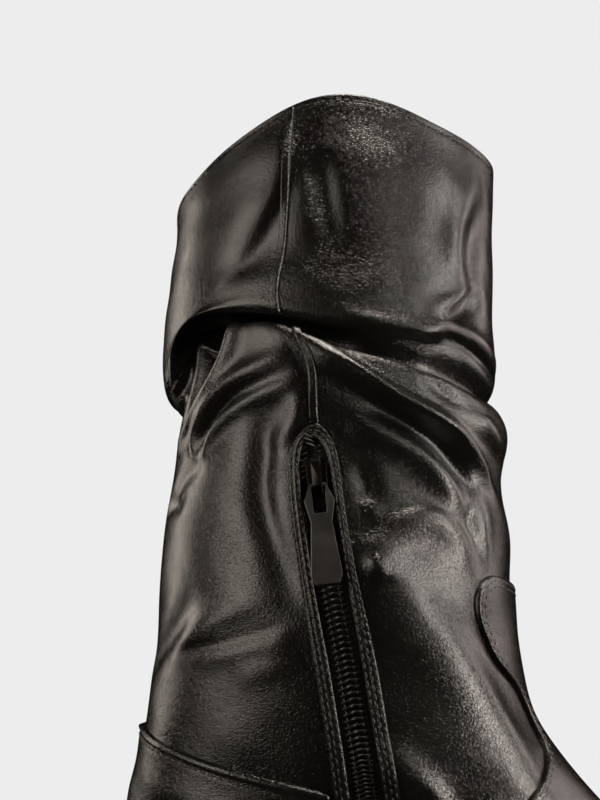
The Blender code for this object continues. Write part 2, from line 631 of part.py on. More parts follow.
def make_heel(collection):
    """The heel block and the rubber lift nailed under it."""
    foot = LIFT_THICK + GAP
    levels = []
    for _, part, back, breast, half in reversed(HEEL_LEVELS):
        levels.append(
            heel_level(back, breast, half, lambda x, p=part: foot + (sole_under(x) - GAP - foot) * p)
        )
    block = stack("heel", levels, "stacked_heel", collection)
    _, _, back, breast, half = HEEL_LEVELS[-1]
    lift = stack(
        "heel_lift",
        [
            heel_level(back + LIFT_TRIM, breast - LIFT_TRIM, half - LIFT_TRIM, lambda x: 0 * x),
            heel_level(back, breast, half, lambda x: 0 * x + LIFT_THICK),
        ],
        "black_rubber",
        collection,
    )
    return block, lift


def make_upper(facets, collection):
    """The one hollow upper with its zip slot, and the layers laid over it."""
    last = facets.count
    edges = facets.edges
    every_row = range(len(facets.rows))
    slot_column = last - edges["strip_back"] + 1
    hole = range(facets.zip_foot, facets.zip_head), (slot_column,)
    points = facets.surface(every_row, range(last), 0)
    thicken(sheet("upper", points, "black_leather", collection, True, hole), WALL, False)

    def layer(name, rows, columns, gap=None):
        block = facets.surface(rows, [column % last for column in columns], GAP)
        return thicken(sheet(name, block, "black_leather", collection, False, gap), OVERLAY, True)

    layer("vamp", range(facets.tongue_head + 1), range(-edges["vamp"], edges["vamp"] + 1))
    layer("counter", range(facets.counter_head + 1), range(edges["counter"], last - edges["counter"] + 1))
    strip = range(last - edges["strip_back"], last - edges["strip_front"] + 1)
    strip_rows = range(facets.zip_foot - 1, facets.zip_head + 2)
    opening = range(1, len(strip_rows) - 2), (1,)
    layer("zip_facing", strip_rows, strip, opening)
    seam = (strip[1], strip[2])
    layer("seam_strip_inner_low", range(facets.zip_head + 2, facets.crest), seam)
    layer("seam_strip_inner_high", range(facets.lip + 1, len(facets.rows)), seam)
    outer_seam = (edges["strip_front"] + 1, edges["strip_back"])
    layer("seam_strip_outer_low", range(facets.zip_foot, facets.crest), outer_seam)
    layer("seam_strip_outer_high", range(facets.lip + 1, len(facets.rows)), outer_seam)


# Zip: half widths and depths under the leather's face
CHAIN_HALF = 2.9
STRAND = (1.3, 3.3)
CHAIN_TOP = 0.3
CHAIN_FOOT = WALL
TAPE_HALF = 6.4
TAPE_APART = 0.4  # half the gap between the two tapes
ZIP_INSET = 0.6  # of the coils from the slot's two ends
ZIP_CLEAR = 1.0  # between the coils' ends and the slider's middle or a row of facets
TAPE_BEHIND = 0.6
TAPE_THICK = 0.6
SLIDER_HEIGHT = 199.0  # of the slider's middle above the ground


def make_zip(facets, slider_rise, collection):
    """Tapes behind the slot, the closed chain below the slider and the open strands above it."""
    rows = facets.rise[:, facets.count - facets.edges["strip_back"]]
    foot, head = rows[facets.zip_foot], rows[facets.zip_head]
    whole = rows[facets.zip_foot - 1 : facets.zip_head + 2]
    between = rows[(rows > foot + ZIP_CLEAR) & (rows < slider_rise - ZIP_CLEAR)]
    above = rows[(rows > slider_rise + ZIP_CLEAR) & (rows < head - ZIP_CLEAR)]
    chain = [foot + ZIP_INSET, *between, slider_rise - ZIP_CLEAR]
    open_part = [slider_rise + ZIP_CLEAR, *above, head - ZIP_INSET]
    face = -WALL - TAPE_BEHIND
    parts = (
        ("zip_tape_front", whole, -TAPE_HALF, -TAPE_APART, face, TAPE_THICK, "black_tape"),
        ("zip_tape_back", whole, TAPE_APART, TAPE_HALF, face, TAPE_THICK, "black_tape"),
        ("zip_chain", chain, -CHAIN_HALF, CHAIN_HALF, -CHAIN_TOP, CHAIN_FOOT - CHAIN_TOP, "black_nylon"),
        ("zip_strand_front", open_part, -STRAND[1], -STRAND[0], -CHAIN_TOP, CHAIN_FOOT - CHAIN_TOP, "black_nylon"),
        ("zip_strand_back", open_part, *STRAND, -CHAIN_TOP, CHAIN_FOOT - CHAIN_TOP, "black_nylon"),
    )
    for name, rises, low, high, lift, thickness, look in parts:
        points = facets.ribbon(np.array(rises), low, high, lift)
        thicken(sheet(name, points, look, collection), thickness, False)


# Slider and pull tab, in their own frame: X along the boot, Z up the zip, Y into the boot, 0 at the leather's face
SLIDER_PLATE = ((-3.3, -7.0), (-2.4, -3.5), (-2.6, 3.0), (-3.3, 7.0), (3.3, 7.0), (2.6, 3.0), (2.4, -3.5), (3.3, -7.0))
SLIDER_THICK = 1.3
BRIDGE_HALF = 1.2
BRIDGE_SIDE = (
    # z, distance out from the leather
    (6.8, 0.6),
    (6.2, 3.1),
    (4.8, 4.1),
    (-1.8, 4.1),
    (-3.3, 3.2),
    (-3.7, 0.6),
    (-2.5, 0.6),
    (-2.4, 2.7),
    (-1.9, 3.1),
    (4.0, 3.1),
    (4.8, 2.6),
    (5.0, 0.6),
)
HINGE_Z = -1.1  # of the tab's bar on the slider
HINGE_OUT = 2.2
TAB_THICK = 1.0
TAB_OUTLINE = (
    # half width, z from the hinge
    (2.0, 0.5),
    (4.0, -4.3),
    (2.75, -10.0),
    (4.0, -23.8),
    (3.0, -26.0),
)
TAB_WINDOW = (1.75, -0.5, -7.6)  # half width, top and bottom
WINDOW_CUT = 2.0  # half the length of the cutter through the tab
SLIDER_HALF = 7.0  # half its length, from which its tilt is taken
ZIP_SAMPLES = 60


def mirrored(half_outline):
    """An outline from its right half, given from top to bottom."""
    return [*half_outline, *((-x, z) for x, z in reversed(half_outline))]


def make_slider(frame, parts, cutters):
    """The slider with its bridge, and the pull tab that hangs from the bridge by its bar."""
    plate_solid = prism("slider", SLIDER_PLATE, -SLIDER_THICK, 0, "gunmetal", parts)
    profile = [(z, -out) for z, out in BRIDGE_SIDE]
    bridge = prism("slider_bridge", profile, -BRIDGE_HALF, BRIDGE_HALF, "gunmetal", cutters)
    # The profile lies in (x, z) here: this turn takes its x to Z, its z to Y and its thickness to X.
    bridge.data.transform(Matrix(((0, 1, 0, 0), (0, 0, 1, 0), (1, 0, 0, 0), (0, 0, 0, 1))))
    boolean(plate_solid, bridge, "UNION")
    tab = prism("pull_tab", mirrored(TAB_OUTLINE), -TAB_THICK / 2, TAB_THICK / 2, "gunmetal", parts)
    half, top, bottom = TAB_WINDOW
    window = prism("tab_window", mirrored(((half, top), (half, bottom))), -WINDOW_CUT, WINDOW_CUT, "gunmetal", cutters)
    boolean(tab, window, "DIFFERENCE")
    for obj in (plate_solid, bridge):
        obj.matrix_world = frame
    hinge = frame @ Matrix.Translation(Vector((0, -HINGE_OUT, HINGE_Z)) * MM)
    for obj in (tab, window):
        obj.matrix_world = hinge
    for obj in (bridge, window):
        obj.hide_render = True
        obj.display_type = "WIRE"


def zip_frame(facets):
    """The slider's frame on the leather, and the rise of its middle."""
    rises = np.linspace(facets.upper.row["shaft_mid"], facets.upper.row["roll_foot"], ZIP_SAMPLES)
    turns = 1 - facets.side_line(-1, rises)
    heights = facets.upper.at(turns, rises)[:, 2]
    rise = float(np.interp(SLIDER_HEIGHT, heights, rises))
    low, high = rise - SLIDER_HALF, rise + SLIDER_HALF
    ends = facets.ribbon(np.array([low, high]), 0, 0, 0)[:, 0]
    middle = facets.ribbon(np.array([rise]), 0, 0, 0)[0, 0]
    up = Vector(ends[1] - ends[0]).normalized()
    turn = 1 - facets.side_line(-1, [rise])[0]
    outward = Vector(facets.upper.outward(turn, rise))
    outward = (outward - up * outward.dot(up)).normalized()
    along = up.cross(outward)
    turned = Matrix((along, -outward, up)).transposed().to_4x4()
    return Matrix.Translation(Vector(middle) * MM) @ turned, rise


def main():
    """Clears the scene and builds the boot."""
    for obj in list(bpy.data.objects):
        bpy.data.objects.remove(obj, do_unlink=True)
    parts = bpy.data.collections.new("mid_calf_boot")
    cutters = bpy.data.collections.new("cutters")
    for collection in (parts, cutters):
        bpy.context.scene.collection.children.link(collection)
    upper = Upper()
    facets = Facets(upper)
    make_sole(facets, parts)
    make_insole(facets, parts)
    make_heel(parts)
    make_upper(facets, parts)
    frame, slider_rise = zip_frame(facets)
    make_zip(facets, slider_rise, parts)
    make_slider(frame, parts, cutters)


main()
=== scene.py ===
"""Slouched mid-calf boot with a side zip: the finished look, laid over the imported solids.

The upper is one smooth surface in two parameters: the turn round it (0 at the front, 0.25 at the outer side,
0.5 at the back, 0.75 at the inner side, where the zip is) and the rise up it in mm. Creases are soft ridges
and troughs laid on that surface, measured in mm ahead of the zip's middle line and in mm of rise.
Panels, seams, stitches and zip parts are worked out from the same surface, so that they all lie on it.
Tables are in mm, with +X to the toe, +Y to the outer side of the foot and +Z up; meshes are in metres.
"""

import logging
import math
from dataclasses import dataclass, field
from enum import Enum
from typing import Callable, Sequence

import bpy
import numpy as np
from numpy.typing import NDArray
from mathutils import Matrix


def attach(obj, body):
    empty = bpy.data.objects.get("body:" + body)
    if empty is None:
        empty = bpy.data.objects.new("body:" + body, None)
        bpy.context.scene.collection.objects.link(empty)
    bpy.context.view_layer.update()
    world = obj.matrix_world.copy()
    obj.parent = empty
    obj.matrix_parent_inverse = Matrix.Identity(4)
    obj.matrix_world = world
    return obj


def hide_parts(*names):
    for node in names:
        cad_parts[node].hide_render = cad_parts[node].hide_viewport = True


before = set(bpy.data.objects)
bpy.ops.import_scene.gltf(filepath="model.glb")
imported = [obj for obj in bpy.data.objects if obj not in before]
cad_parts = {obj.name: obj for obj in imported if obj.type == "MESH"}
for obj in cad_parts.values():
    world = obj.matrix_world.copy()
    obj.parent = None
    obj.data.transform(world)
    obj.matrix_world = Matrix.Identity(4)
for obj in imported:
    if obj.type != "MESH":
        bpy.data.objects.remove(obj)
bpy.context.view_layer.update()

LOG = logging.getLogger("boot")
Array = NDArray[np.float64]
Faces = NDArray[np.int64]
Piece = bpy.types.Object
Material = bpy.types.Material
Nodes = bpy.types.NodeTree
Socket = bpy.types.NodeSocket
MM = 0.001
BOOT = "boot"
TAB = "pull_tab"

# ---- the last and the shaft

# The sole's ground side along the foot: raised by the heel, level under the ball, sprung at the toe
SEAT_HEIGHT = 46.0
SEAT_END = 27.0
TREAD_START = 110.0
TREAD_END = 150.0
TOE_END = 226.0
TOE_SPRING = 9.0
SOLE_THICK = 4.5
WALL = 1.8

# Stations round the foot: part of the turn, part of the length on the foot, sideways swing of the middle line
STATIONS = (
    ("front", 0, 1, -6),
    ("tip", 0.03, 0.968, -5.5),
    ("toe", 0.08, 0.84, -2),
    ("ball", 0.16, 0.655, 3),
    ("waist", 0.27, 0.42, 2.5),
    ("heel", 0.39, 0.165, 0),
    ("back", 0.5, 0, 0),
)
FOOT_COLUMNS = (
    "x_back x_front w_tip w_toe w_ball w_waist w_heel "
    "h_front h_tip h_toe h_ball h_waist h_heel h_back shaft"
).split()
FOOT_RINGS = {
    "feather": (-28.5, 219, 12.5, 28.5, 40.5, 29, 28.5, 0.4, 0.4, 0.4, 0.4, 0.4, 0.4, 0.4, 0),
    "wall": (-31.5, 222, 14, 32, 44.5, 32.5, 32.5, 7, 8.5, 11, 12, 13, 9.5, 10, 0),
    "shoulder": (-33, 217.5, 12.5, 29.5, 43.5, 35, 34, 16, 17.5, 23, 27, 26.5, 19, 19, 0),
    "toe_cap": (-33, 204, 9.5, 23, 38, 35.5, 34, 26.5, 28, 35.5, 41.5, 37, 28, 28, 0),
    "vamp_low": (-32.5, 186, 8, 18.5, 34.5, 35.5, 33.8, 37, 38.5, 47.5, 55.5, 43.7, 37, 37, 0.05),
    "vamp_high": (-31.5, 166, 7.5, 17.5, 32.5, 35.5, 33.6, 49.5, 51, 60.5, 68, 49, 46, 46, 0.15),
    "instep_low": (-30, 146, 7.5, 17.5, 32, 36, 33.5, 64.5, 66.5, 75.5, 75, 54.5, 55, 55, 0.3),
    "instep": (-28.5, 127.5, 8, 18, 33, 37, 33, 84.5, 86.5, 92, 87, 61.5, 64, 64, 0.5),
    "throat": (-27, 108.2, 8, 19, 34.5, 39, 31, 106.5, 107.5, 107, 96, 71, 73, 73, 0.75),
}
SHAFT_COLUMNS = "x_back x_front half_width z_back z_front".split()
SHAFT_RINGS = {
    "ankle_low": (-25.6, 93.5, 41, 133, 128),
    "ankle": (-24.4, 84.8, 42.5, 144, 142),
    "shaft_low": (-23, 81.2, 44, 160, 160),
    "shaft_mid": (-22.6, 81.4, 45.4, 180, 180),
    "shaft_high": (-21.8, 81.8, 46, 199, 197),
}

# Slouch folds and cuff: how far each ring stands out from a plain tube, and how high it runs, by compass
# angle in degrees from the front, through the inner side of the foot, to the back and round the outer side
TUBE_MIDDLE = 30.0
TUBE_HALF_LENGTH = 52.5
TUBE_HALF_WIDTH = 47.5
ANGLES = (0, 30, 60, 90, 120, 150, 180, 210, 240, 270, 300, 330)
FOLD_OUT = {
    "roll_foot": (-1.5, -1.2, -0.6, -2.2, -2.4, -2.6, -2.6, -2, -1.6, -2, -1.6, -1.2),
    "roll_out": (1, 1.2, 1.2, 0.2, -0.6, -2.6, -3.4, -2, 0, 1, 1.5, 2),
    "roll_top": (0.2, 0.6, 0.6, 0.2, -0.4, -3.4, -5.4, -3.4, -0.6, 0.4, 0.4, 0.4),
    "crest": (-2.2, -1.8, -1.8, -1.8, -2, -6, -8.6, -6, -2.4, -1.6, -1.6, -1.8),
    "tuck": (-6.5, -6.5, -7.5, -9, -9.5, -13, -13.5, -12, -9, -8, -7, -6.5),
    "tuck_top": (-5.5, -5.5, -6, -7.5, -8, -9.5, -9.5, -9, -7.5, -6.5, -6, -5.5),
    "lip": (-2.6, -2.2, -1.4, -1, -1, -0.4, -0.4, -0.4, -0.6, -0.8, -1.4, -2.2),
    "cuff_foot": (-1.2, -0.6, 0.8, 1.4, 1.6, 2.2, 2.2, 2, 1.6, 1.2, 0.4, -0.6),
    "cuff_low": (-0.6, 0.2, 1.6, 1.6, 1.2, 2.6, 2.8, 2.4, 1.4, 1.2, 0.8, 0.4),
    "cuff_mid": (0.6, 1, 2, 2.4, 2.4, 2, 1.6, 1.8, 2, 2, 1.2, 0.8),
    "cuff_high": (2.2, 2, 2.2, 3, 3, 1.4, 0.2, 1, 2.4, 2.8, 2.2, 2),
    "rim": (4, 3.4, 3, 3.6, 3.4, 1.6, 0.8, 1.4, 3, 3.4, 3.4, 3.8),
}
FOLD_HEIGHT = {
    "roll_foot": (212, 212, 212, 214, 214, 214, 214, 214, 213, 213, 212, 212),
    "roll_out": (221.5, 220.5, 221.5, 225, 227, 226, 224, 224, 226, 225, 223, 222),
    "roll_top": (229, 226.5, 228.5, 233.5, 239, 237.5, 233, 234, 236, 233, 230, 229.5),
    "crest": (232, 230, 232, 237.5, 244, 243, 239, 240, 241, 237.5, 233.5, 232.5),
    "tuck": (232.5, 231.5, 233.5, 238.5, 245, 245, 242.5, 243, 243, 239, 235, 233.5),
    "tuck_top": (239, 239.5, 241.5, 244, 250.5, 248.5, 246, 247, 248.5, 245, 241.5, 239.5),
    "lip": (238.5, 239.5, 242, 243.8, 249.5, 243.5, 238, 241, 246.5, 244.5, 241.5, 239),
    "cuff_foot": (243, 244, 246.5, 248, 254, 248, 243, 246, 251, 249, 246, 243.5),
    "cuff_low": (258, 259, 260, 262, 265, 262, 259, 261, 264, 262, 260, 258.5),
    "cuff_mid": (281, 280, 280, 282, 281, 279, 278, 279, 281, 283, 283, 282),
    "cuff_high": (303, 299, 300, 303, 298, 293, 292, 293, 297, 302, 306, 306),
    "rim": (321, 315.5, 315, 318.5, 309, 302.5, 304, 305.5, 312, 320, 327, 327),
}
READ_AT = (
    0, 0.015, 0.03, 0.055, 0.08, 0.12, 0.16, 0.2, 0.235, 0.27, 0.3, 0.33, 0.36, 0.39, 0.42, 0.45, 0.475, 0.5,
)

# Edge of the vamp and its tongue: ring, mm above it, part of the turn from the front; then the tongue's head
VAMP_LINE = (
    ("feather", 0, 0.268), ("wall", 0, 0.265), ("shoulder", 0, 0.262), ("toe_cap", 0, 0.258),
    ("vamp_low", 0, 0.252), ("vamp_high", 0, 0.243), ("instep_low", 0, 0.226), ("instep", 0, 0.196),
    ("throat", 0, 0.158), ("ankle_low", 0, 0.103), ("ankle_low", 5, 0.075), ("ankle_low", 10, 0.066),
    ("ankle", 0, 0.065), ("ankle", 8, 0.081), ("ankle", 12, 0.103), ("shaft_low", 0, 0.117),
    ("shaft_low", 6, 0.127), ("shaft_low", 11, 0.128),
)
TONGUE_HEAD = ("shaft_low", 18.4)
# The middle line of either side as seen from the side, zip below and seam above: height, x
SIDE_LINE = (
    (20, 50), (75, 42), (124, 35), (168, 28), (211, 23), (225, 22.5), (233, 21.6),
    (242, 17), (250, 12.6), (264, 13.1), (280, 14.4), (315, 16.4), (335, 17),
)


def hermite_slopes(knots: Array, values: Array, closed: bool) -> Array:
    """Slopes of the cubic through the values whose curvature is continuous.

    At each inner knot i, with steps h and secants s: h[i] m[i-1] + 2 (h[i-1] + h[i]) m[i] + h[i-1] m[i+1] =
    3 (h[i] s[i-1] + h[i-1] s[i]). A closed curve repeats its first value as its last. An open one ends
    straight.

    Args:
        knots: parameters, rising.
        values: a value or a block of values at each knot, along the first axis.
        closed: whether the last knot is the first one come round.

    Returns:
        A slope for each value.
    """
    step = np.diff(knots)
    secant = np.diff(values, axis=0) / step.reshape(-1, *[1] * (values.ndim - 1))
    count = len(knots)
    inside = np.arange(1, count - 1)
    system = np.zeros((count, count))
    right = np.zeros_like(values)
    wide = step.reshape(-1, *[1] * (values.ndim - 1))
    system[inside, inside - 1] = step[1:]
    system[inside, inside] = 2 * (step[:-1] + step[1:])
    system[inside, inside + 1] = step[:-1]
    right[1:-1] = 3 * (wide[1:] * secant[:-1] + wide[:-1] * secant[1:])
    if closed:
        system[0, 0], system[0, 1], system[0, -2] = 2 * (step[-1] + step[0]), step[-1], step[0]
        right[0] = 3 * (step[0] * secant[-1] + step[-1] * secant[0])
        system[-1, 0], system[-1, -1] = 1, -1
    else:
        system[0, :2] = 2, 1
        right[0] = 3 * secant[0]
        system[-1, -2:] = 1, 2
        right[-1] = 3 * secant[-1]
    return np.linalg.solve(system, right.reshape(count, -1)).reshape(values.shape)


def hermite_weights(knots: Array, at: Array) -> tuple[NDArray[np.int64], Array, Array]:
    """Weights of a cubic's end values, (1+2p)(1-p)^2 and p^2(3-2p), and end slopes, p(1-p)^2 and p^2(p-1).

    Args:
        knots: parameters, rising.
        at: where the curve is read.

    Returns:
        For each place its span, its two value weights and its two slope weights.
    """
    span = np.clip(np.searchsorted(knots, at, side="right") - 1, 0, len(knots) - 2)
    step = knots[span + 1] - knots[span]
    part = (at - knots[span]) / step
    value = np.stack([(1 + 2 * part) * (1 - part) ** 2, part**2 * (3 - 2 * part)])
    slope = np.stack([part * (1 - part) ** 2, part**2 * (part - 1)]) * step
    return span, value, slope


def spline(knots: Sequence[float], values: Sequence, at: Array, closed: bool = False) -> Array:
    """A smooth cubic through values at knots.

    Args:
        knots: parameters, rising.
        values: a value or a point at each knot.
        at: where the curve is read.
        closed: whether it comes round with a period of 1.

    Returns:
        The curve's values at those places.
    """
    knots = np.asarray(knots, float)
    values = np.asarray(values, float)
    at = np.asarray(at, float)
    if closed:
        knots = np.append(knots, knots[0] + 1)
        values = np.concatenate([values, values[:1]])
        at = knots[0] + (at - knots[0]) % 1
    slopes = hermite_slopes(knots, values, closed)
    span, value, slope = hermite_weights(knots, at)
    shape = at.shape + (1,) * (values.ndim - 1)
    return sum(
        value[k].reshape(shape) * values[span + k] + slope[k].reshape(shape) * slopes[span + k]
        for k in (0, 1)
    )


def ease(share: Array) -> Array:
    """Smooth step s^2 (3 - 2 s) of a share held between 0 and 1."""
    held = np.clip(share, 0, 1)
    return held**2 * (3 - 2 * held)


def bell(distance: Array, width: float) -> Array:
    """The bell exp(-(d / w)^2 / 2)."""
    return np.exp(-0.5 * (distance / width) ** 2)


def sole_under(x: Array) -> Array:
    """Height of the sole's ground side: an eased fall from the seat, and a square rise at the toe.

    Args:
        x: mm ahead of the heel's middle.

    Returns:
        mm above the ground.
    """
    fall = ease((x - SEAT_END) / (TREAD_START - SEAT_END))
    spring = np.clip((x - TREAD_END) / (TOE_END - TREAD_END), 0, None)
    return SEAT_HEIGHT * (1 - fall) + TOE_SPRING * spring**2


def foot_ring(row: dict[str, float], turn: Array) -> Array:
    """A ring round the foot: a closed cubic through one point on each station and its mirror.

    Args:
        row: the ring's sizes, named by FOOT_COLUMNS.
        turn: where it is read.

    Returns:
        Points in mm.
    """
    half_turn, foot_part, swing = (np.array(column) for column in list(zip(*STATIONS))[1:])
    shaft = row["shaft"]
    angle = 2 * np.pi * half_turn
    part = foot_part * (1 - shaft) + (1 + np.cos(angle)) / 2 * shaft
    width = np.array([0] + [row["w_" + n] for n in ("tip", "toe", "ball", "waist", "heel")] + [0])
    width = width * (1 - shaft) + np.abs(np.sin(angle)) * row["w_waist"] * shaft
    x = row["x_back"] + (row["x_front"] - row["x_back"]) * part
    height = [row["h_" + name] for name, *_ in STATIONS]
    swing = swing * (1 - shaft)
    outer = np.stack([x, width + swing, height], 1)
    inner = np.stack([x, swing - width, height], 1)
    around = np.concatenate([half_turn, 1 - half_turn[-2:0:-1]])
    ring = spline(around, np.concatenate([outer, inner[-2:0:-1]]), turn, closed=True)
    ring[:, 2] += sole_under(ring[:, 0]) + SOLE_THICK
    return ring


def shaft_ring(row: dict[str, float], turn: Array) -> Array:
    """A tilted ellipse round the shaft.

    Args:
        row: the ring's sizes, named by SHAFT_COLUMNS.
        turn: where it is read.

    Returns:
        Points in mm.
    """
    angle = 2 * np.pi * turn
    part = (1 + np.cos(angle)) / 2
    x = row["x_back"] + (row["x_front"] - row["x_back"]) * part
    z = row["z_back"] + (row["z_front"] - row["z_back"]) * part
    return np.stack([x, row["half_width"] * np.sin(angle), z], 1)


def fold_ring(name: str, turn: Array) -> Array:
    """A ring of the slouch or the cuff: the tube's ellipse with both half axes grown by the ring's amount.

    Args:
        name: the ring's name in FOLD_OUT and FOLD_HEIGHT.
        turn: where it is read.

    Returns:
        Points in mm.
    """
    knots = np.array(ANGLES) / 360
    inner_first = (1 - turn) % 1
    out = spline(knots, FOLD_OUT[name], inner_first, closed=True)
    height = spline(knots, FOLD_HEIGHT[name], inner_first, closed=True)
    angle = 2 * np.pi * turn
    x = TUBE_MIDDLE + (TUBE_HALF_LENGTH + out) * np.cos(angle)
    y = (TUBE_HALF_WIDTH + out) * np.sin(angle)
    return np.stack([x, y, height], 1)


class Side(Enum):
    """The two sides of the boot."""

    OUTER = 1
    INNER = -1


@dataclass(frozen=True)
class Crease:
    """A soft ridge (height above 0) or trough (below 0) in the leather.

    Its height at distance d from its line is height * exp(-(d / flank)^2 / 2), with a flank of its own on
    the left and on the right of the way the line runs.
    """

    left: float
    right: float
    line: tuple[tuple[float, float, float], ...]  # mm ahead of the zip's middle line, mm of rise, height

    def smooth(self) -> Array:
        """The line as a cubic through its points, read at eight places between each two."""
        last = len(self.line) - 1
        return spline(np.arange(last + 1), np.array(self.line), np.linspace(0, last, 8 * last + 1))

    def height(self, ahead: Array, rise: Array) -> Array:
        """Height of the crease over each place.

        Args:
            ahead: mm ahead of the zip's middle line.
            rise: mm of rise.

        Returns:
            mm outwards.
        """
        line = self.smooth()
        found = np.zeros_like(ahead)
        reach = 3.6 * max(self.left, self.right)
        low, high = line.min(0) - reach, line.max(0) + reach
        near = (ahead > low[0]) & (ahead < high[0]) & (rise > low[1]) & (rise < high[1])
        place = np.stack([ahead[near], rise[near]], 1)[:, None]
        start, way = line[:-1, :2], np.diff(line[:, :2], axis=0)
        length = np.maximum((way**2).sum(1), 1e-9)
        part = np.clip(((place - start) * way).sum(2) / length, 0, 1)
        off = place - start - part[..., None] * way
        square = (off**2).sum(2)
        nearest = square.argmin(1)
        every = np.arange(len(nearest))
        crossed = way[nearest, 0] * off[every, nearest, 1] - way[nearest, 1] * off[every, nearest, 0]
        flank = np.where(crossed > 0, self.left, self.right)
        step = np.diff(line[:, 2])[nearest]
        top = line[nearest, 2] + step * part[every, nearest]
        found[near] = top * np.exp(-0.5 * square[every, nearest] / flank**2)
        return found


@dataclass(frozen=True)
class Pull:
    """A soft shift of the leather round a place: shift * exp(-(da / wide)^2 / 2 - (dr / high)^2 / 2)."""

    ahead: float
    rise: float
    wide: float
    high: float
    shift: tuple[float, float, float]  # mm on x, y and z

    def move(self, ahead: Array, rise: Array) -> Array:
        """How far each place is shifted, in mm."""
        share = bell(ahead - self.ahead, self.wide) * bell(rise - self.rise, self.high)
        return share[..., None] * np.array(self.shift)


@dataclass(frozen=True)
class Closing:
    """Where the gap under the lip closes: there the leather runs from the roll to the lip in one flat curve.

    It leaves the straight line between the two by bulge * 12.2 * c * (1 - c)^4 at share c of the climb, which
    comes to the full bulge a fifth of the way up.
    """

    low: float  # mm of rise
    high: float
    first: float  # mm ahead of the middle line, along the lip
    last: float
    soft: float  # mm over which it opens again
    bulge: float  # mm outwards, or inwards below 0
    to_full: float = 12.2  # brings the greatest value of c * (1 - c)^4 to 1

    def belly(self, climb: Array) -> Array:
        """How far the curve stands out from the straight line, in mm."""
        return self.bulge * self.to_full * climb * (1 - climb) ** 4

    def share(self, off: Array, per_mm: Array, rise: Array) -> tuple[Array, Array]:
        """How closed the gap is at each place, and how far up the straight run it lies.

        Args:
            off: turn ahead of the middle line, along the lip.
            per_mm: the part of the turn that one millimetre takes there.
            rise: mm of rise.

        Returns:
            Two shares.
        """
        ahead = (off - np.round(off - (self.first + self.last) / 2 * per_mm)) / per_mm
        along = ease((ahead - self.first) / self.soft) * ease((self.last - ahead) / self.soft)
        climb = np.clip((rise - self.low) / (self.high - self.low), 0, 1)
        return along * ((climb > 0) & (climb < 1)), climb


# Creases of the slouch, from the cuff down
CUFF_CREASES = (
    # the soft ridge under the rim
    Crease(6, 6, (
        (-60, 309, 0), (-15, 310, 0.4), (1, 307, 0.4), (27, 306, 0.5), (44, 306, 0.8), (56, 310, 0.9),
        (75, 314, 0),
    )),
    # the upright dent beside the seam, with its ridge to the left
    Crease(2.6, 3.5, ((10, 308, 0), (10.5, 302, -1.2), (12, 294, -1.7), (14, 283, -1.2), (15, 274, 0))),
    Crease(2.2, 2.2, ((5, 302, 0), (6, 297, 0.5), (7, 291, 0.3), (8, 284, 0))),
    # the hollow left of the seam, between a slant ridge and the seam itself
    Crease(4, 4, (
        (-3, 307, 0), (-3, 298, -0.5), (-4, 289, -0.7), (-8, 279, -0.8), (-12, 270, -0.4), (-16, 262, 0),
    )),
    Crease(2.5, 9, (
        (-1.5, 322, 0), (-2, 312, 1.2), (-3, 301, 1.7), (-7, 291, 1.4), (-12, 282, 0.9), (-18, 272, 0.5),
        (-24, 264, 0),
    )),
    # the curved ridge near the front, and the valley beyond it
    Crease(4, 4, (
        (73, 315, 0), (63, 306, 1.2), (57, 295, 1.9), (55, 286, 1.9), (58, 274, 0.8), (60, 268, 0),
    )),
    Crease(4.5, 5, ((80, 312, 0), (70, 300, -1.5), (65, 292, -2), (62, 279, -1.6), (66, 268, -1))),
    # the pinch above the lip at the front
    Crease(2.2, 2.2, ((44, 262, 0), (49, 264, 0.7), (55, 269, 1), (61, 276, 0.6), (66, 281, 0))),
    Crease(1.2, 4, ((52, 261, 0), (56, 265, -1.6), (61, 271, -2.4), (66, 275.5, -1.2), (72, 278, 0))),
    # the lip's round edge
    Crease(2, 2.4, (
        (-50, 254, 0), (-40, 255, 0.8), (-20, 256, 0.9), (10, 256, 0.8), (22, 256.5, 1), (40, 256.5, 1.3),
        (47, 257, 1.4), (52, 258.8, 1.4), (60, 260, 1.4), (70, 260.5, 1.4), (84, 260.5, 1), (96, 260, 0),
    )),
    Crease(1.3, 2, (
        (16, 256.5, 0), (26, 256.5, 0.7), (38, 256.5, 1.1), (46, 257, 1.3), (50, 258, 0.7), (53, 260, 0),
    )),
    Crease(1.6, 2.4, (
        (42, 254.5, 0), (50, 255.5, -1), (60, 256.5, -1.6), (74, 256.5, -1.6), (88, 256.5, -1.2),
        (100, 256, 0),
    )),
)
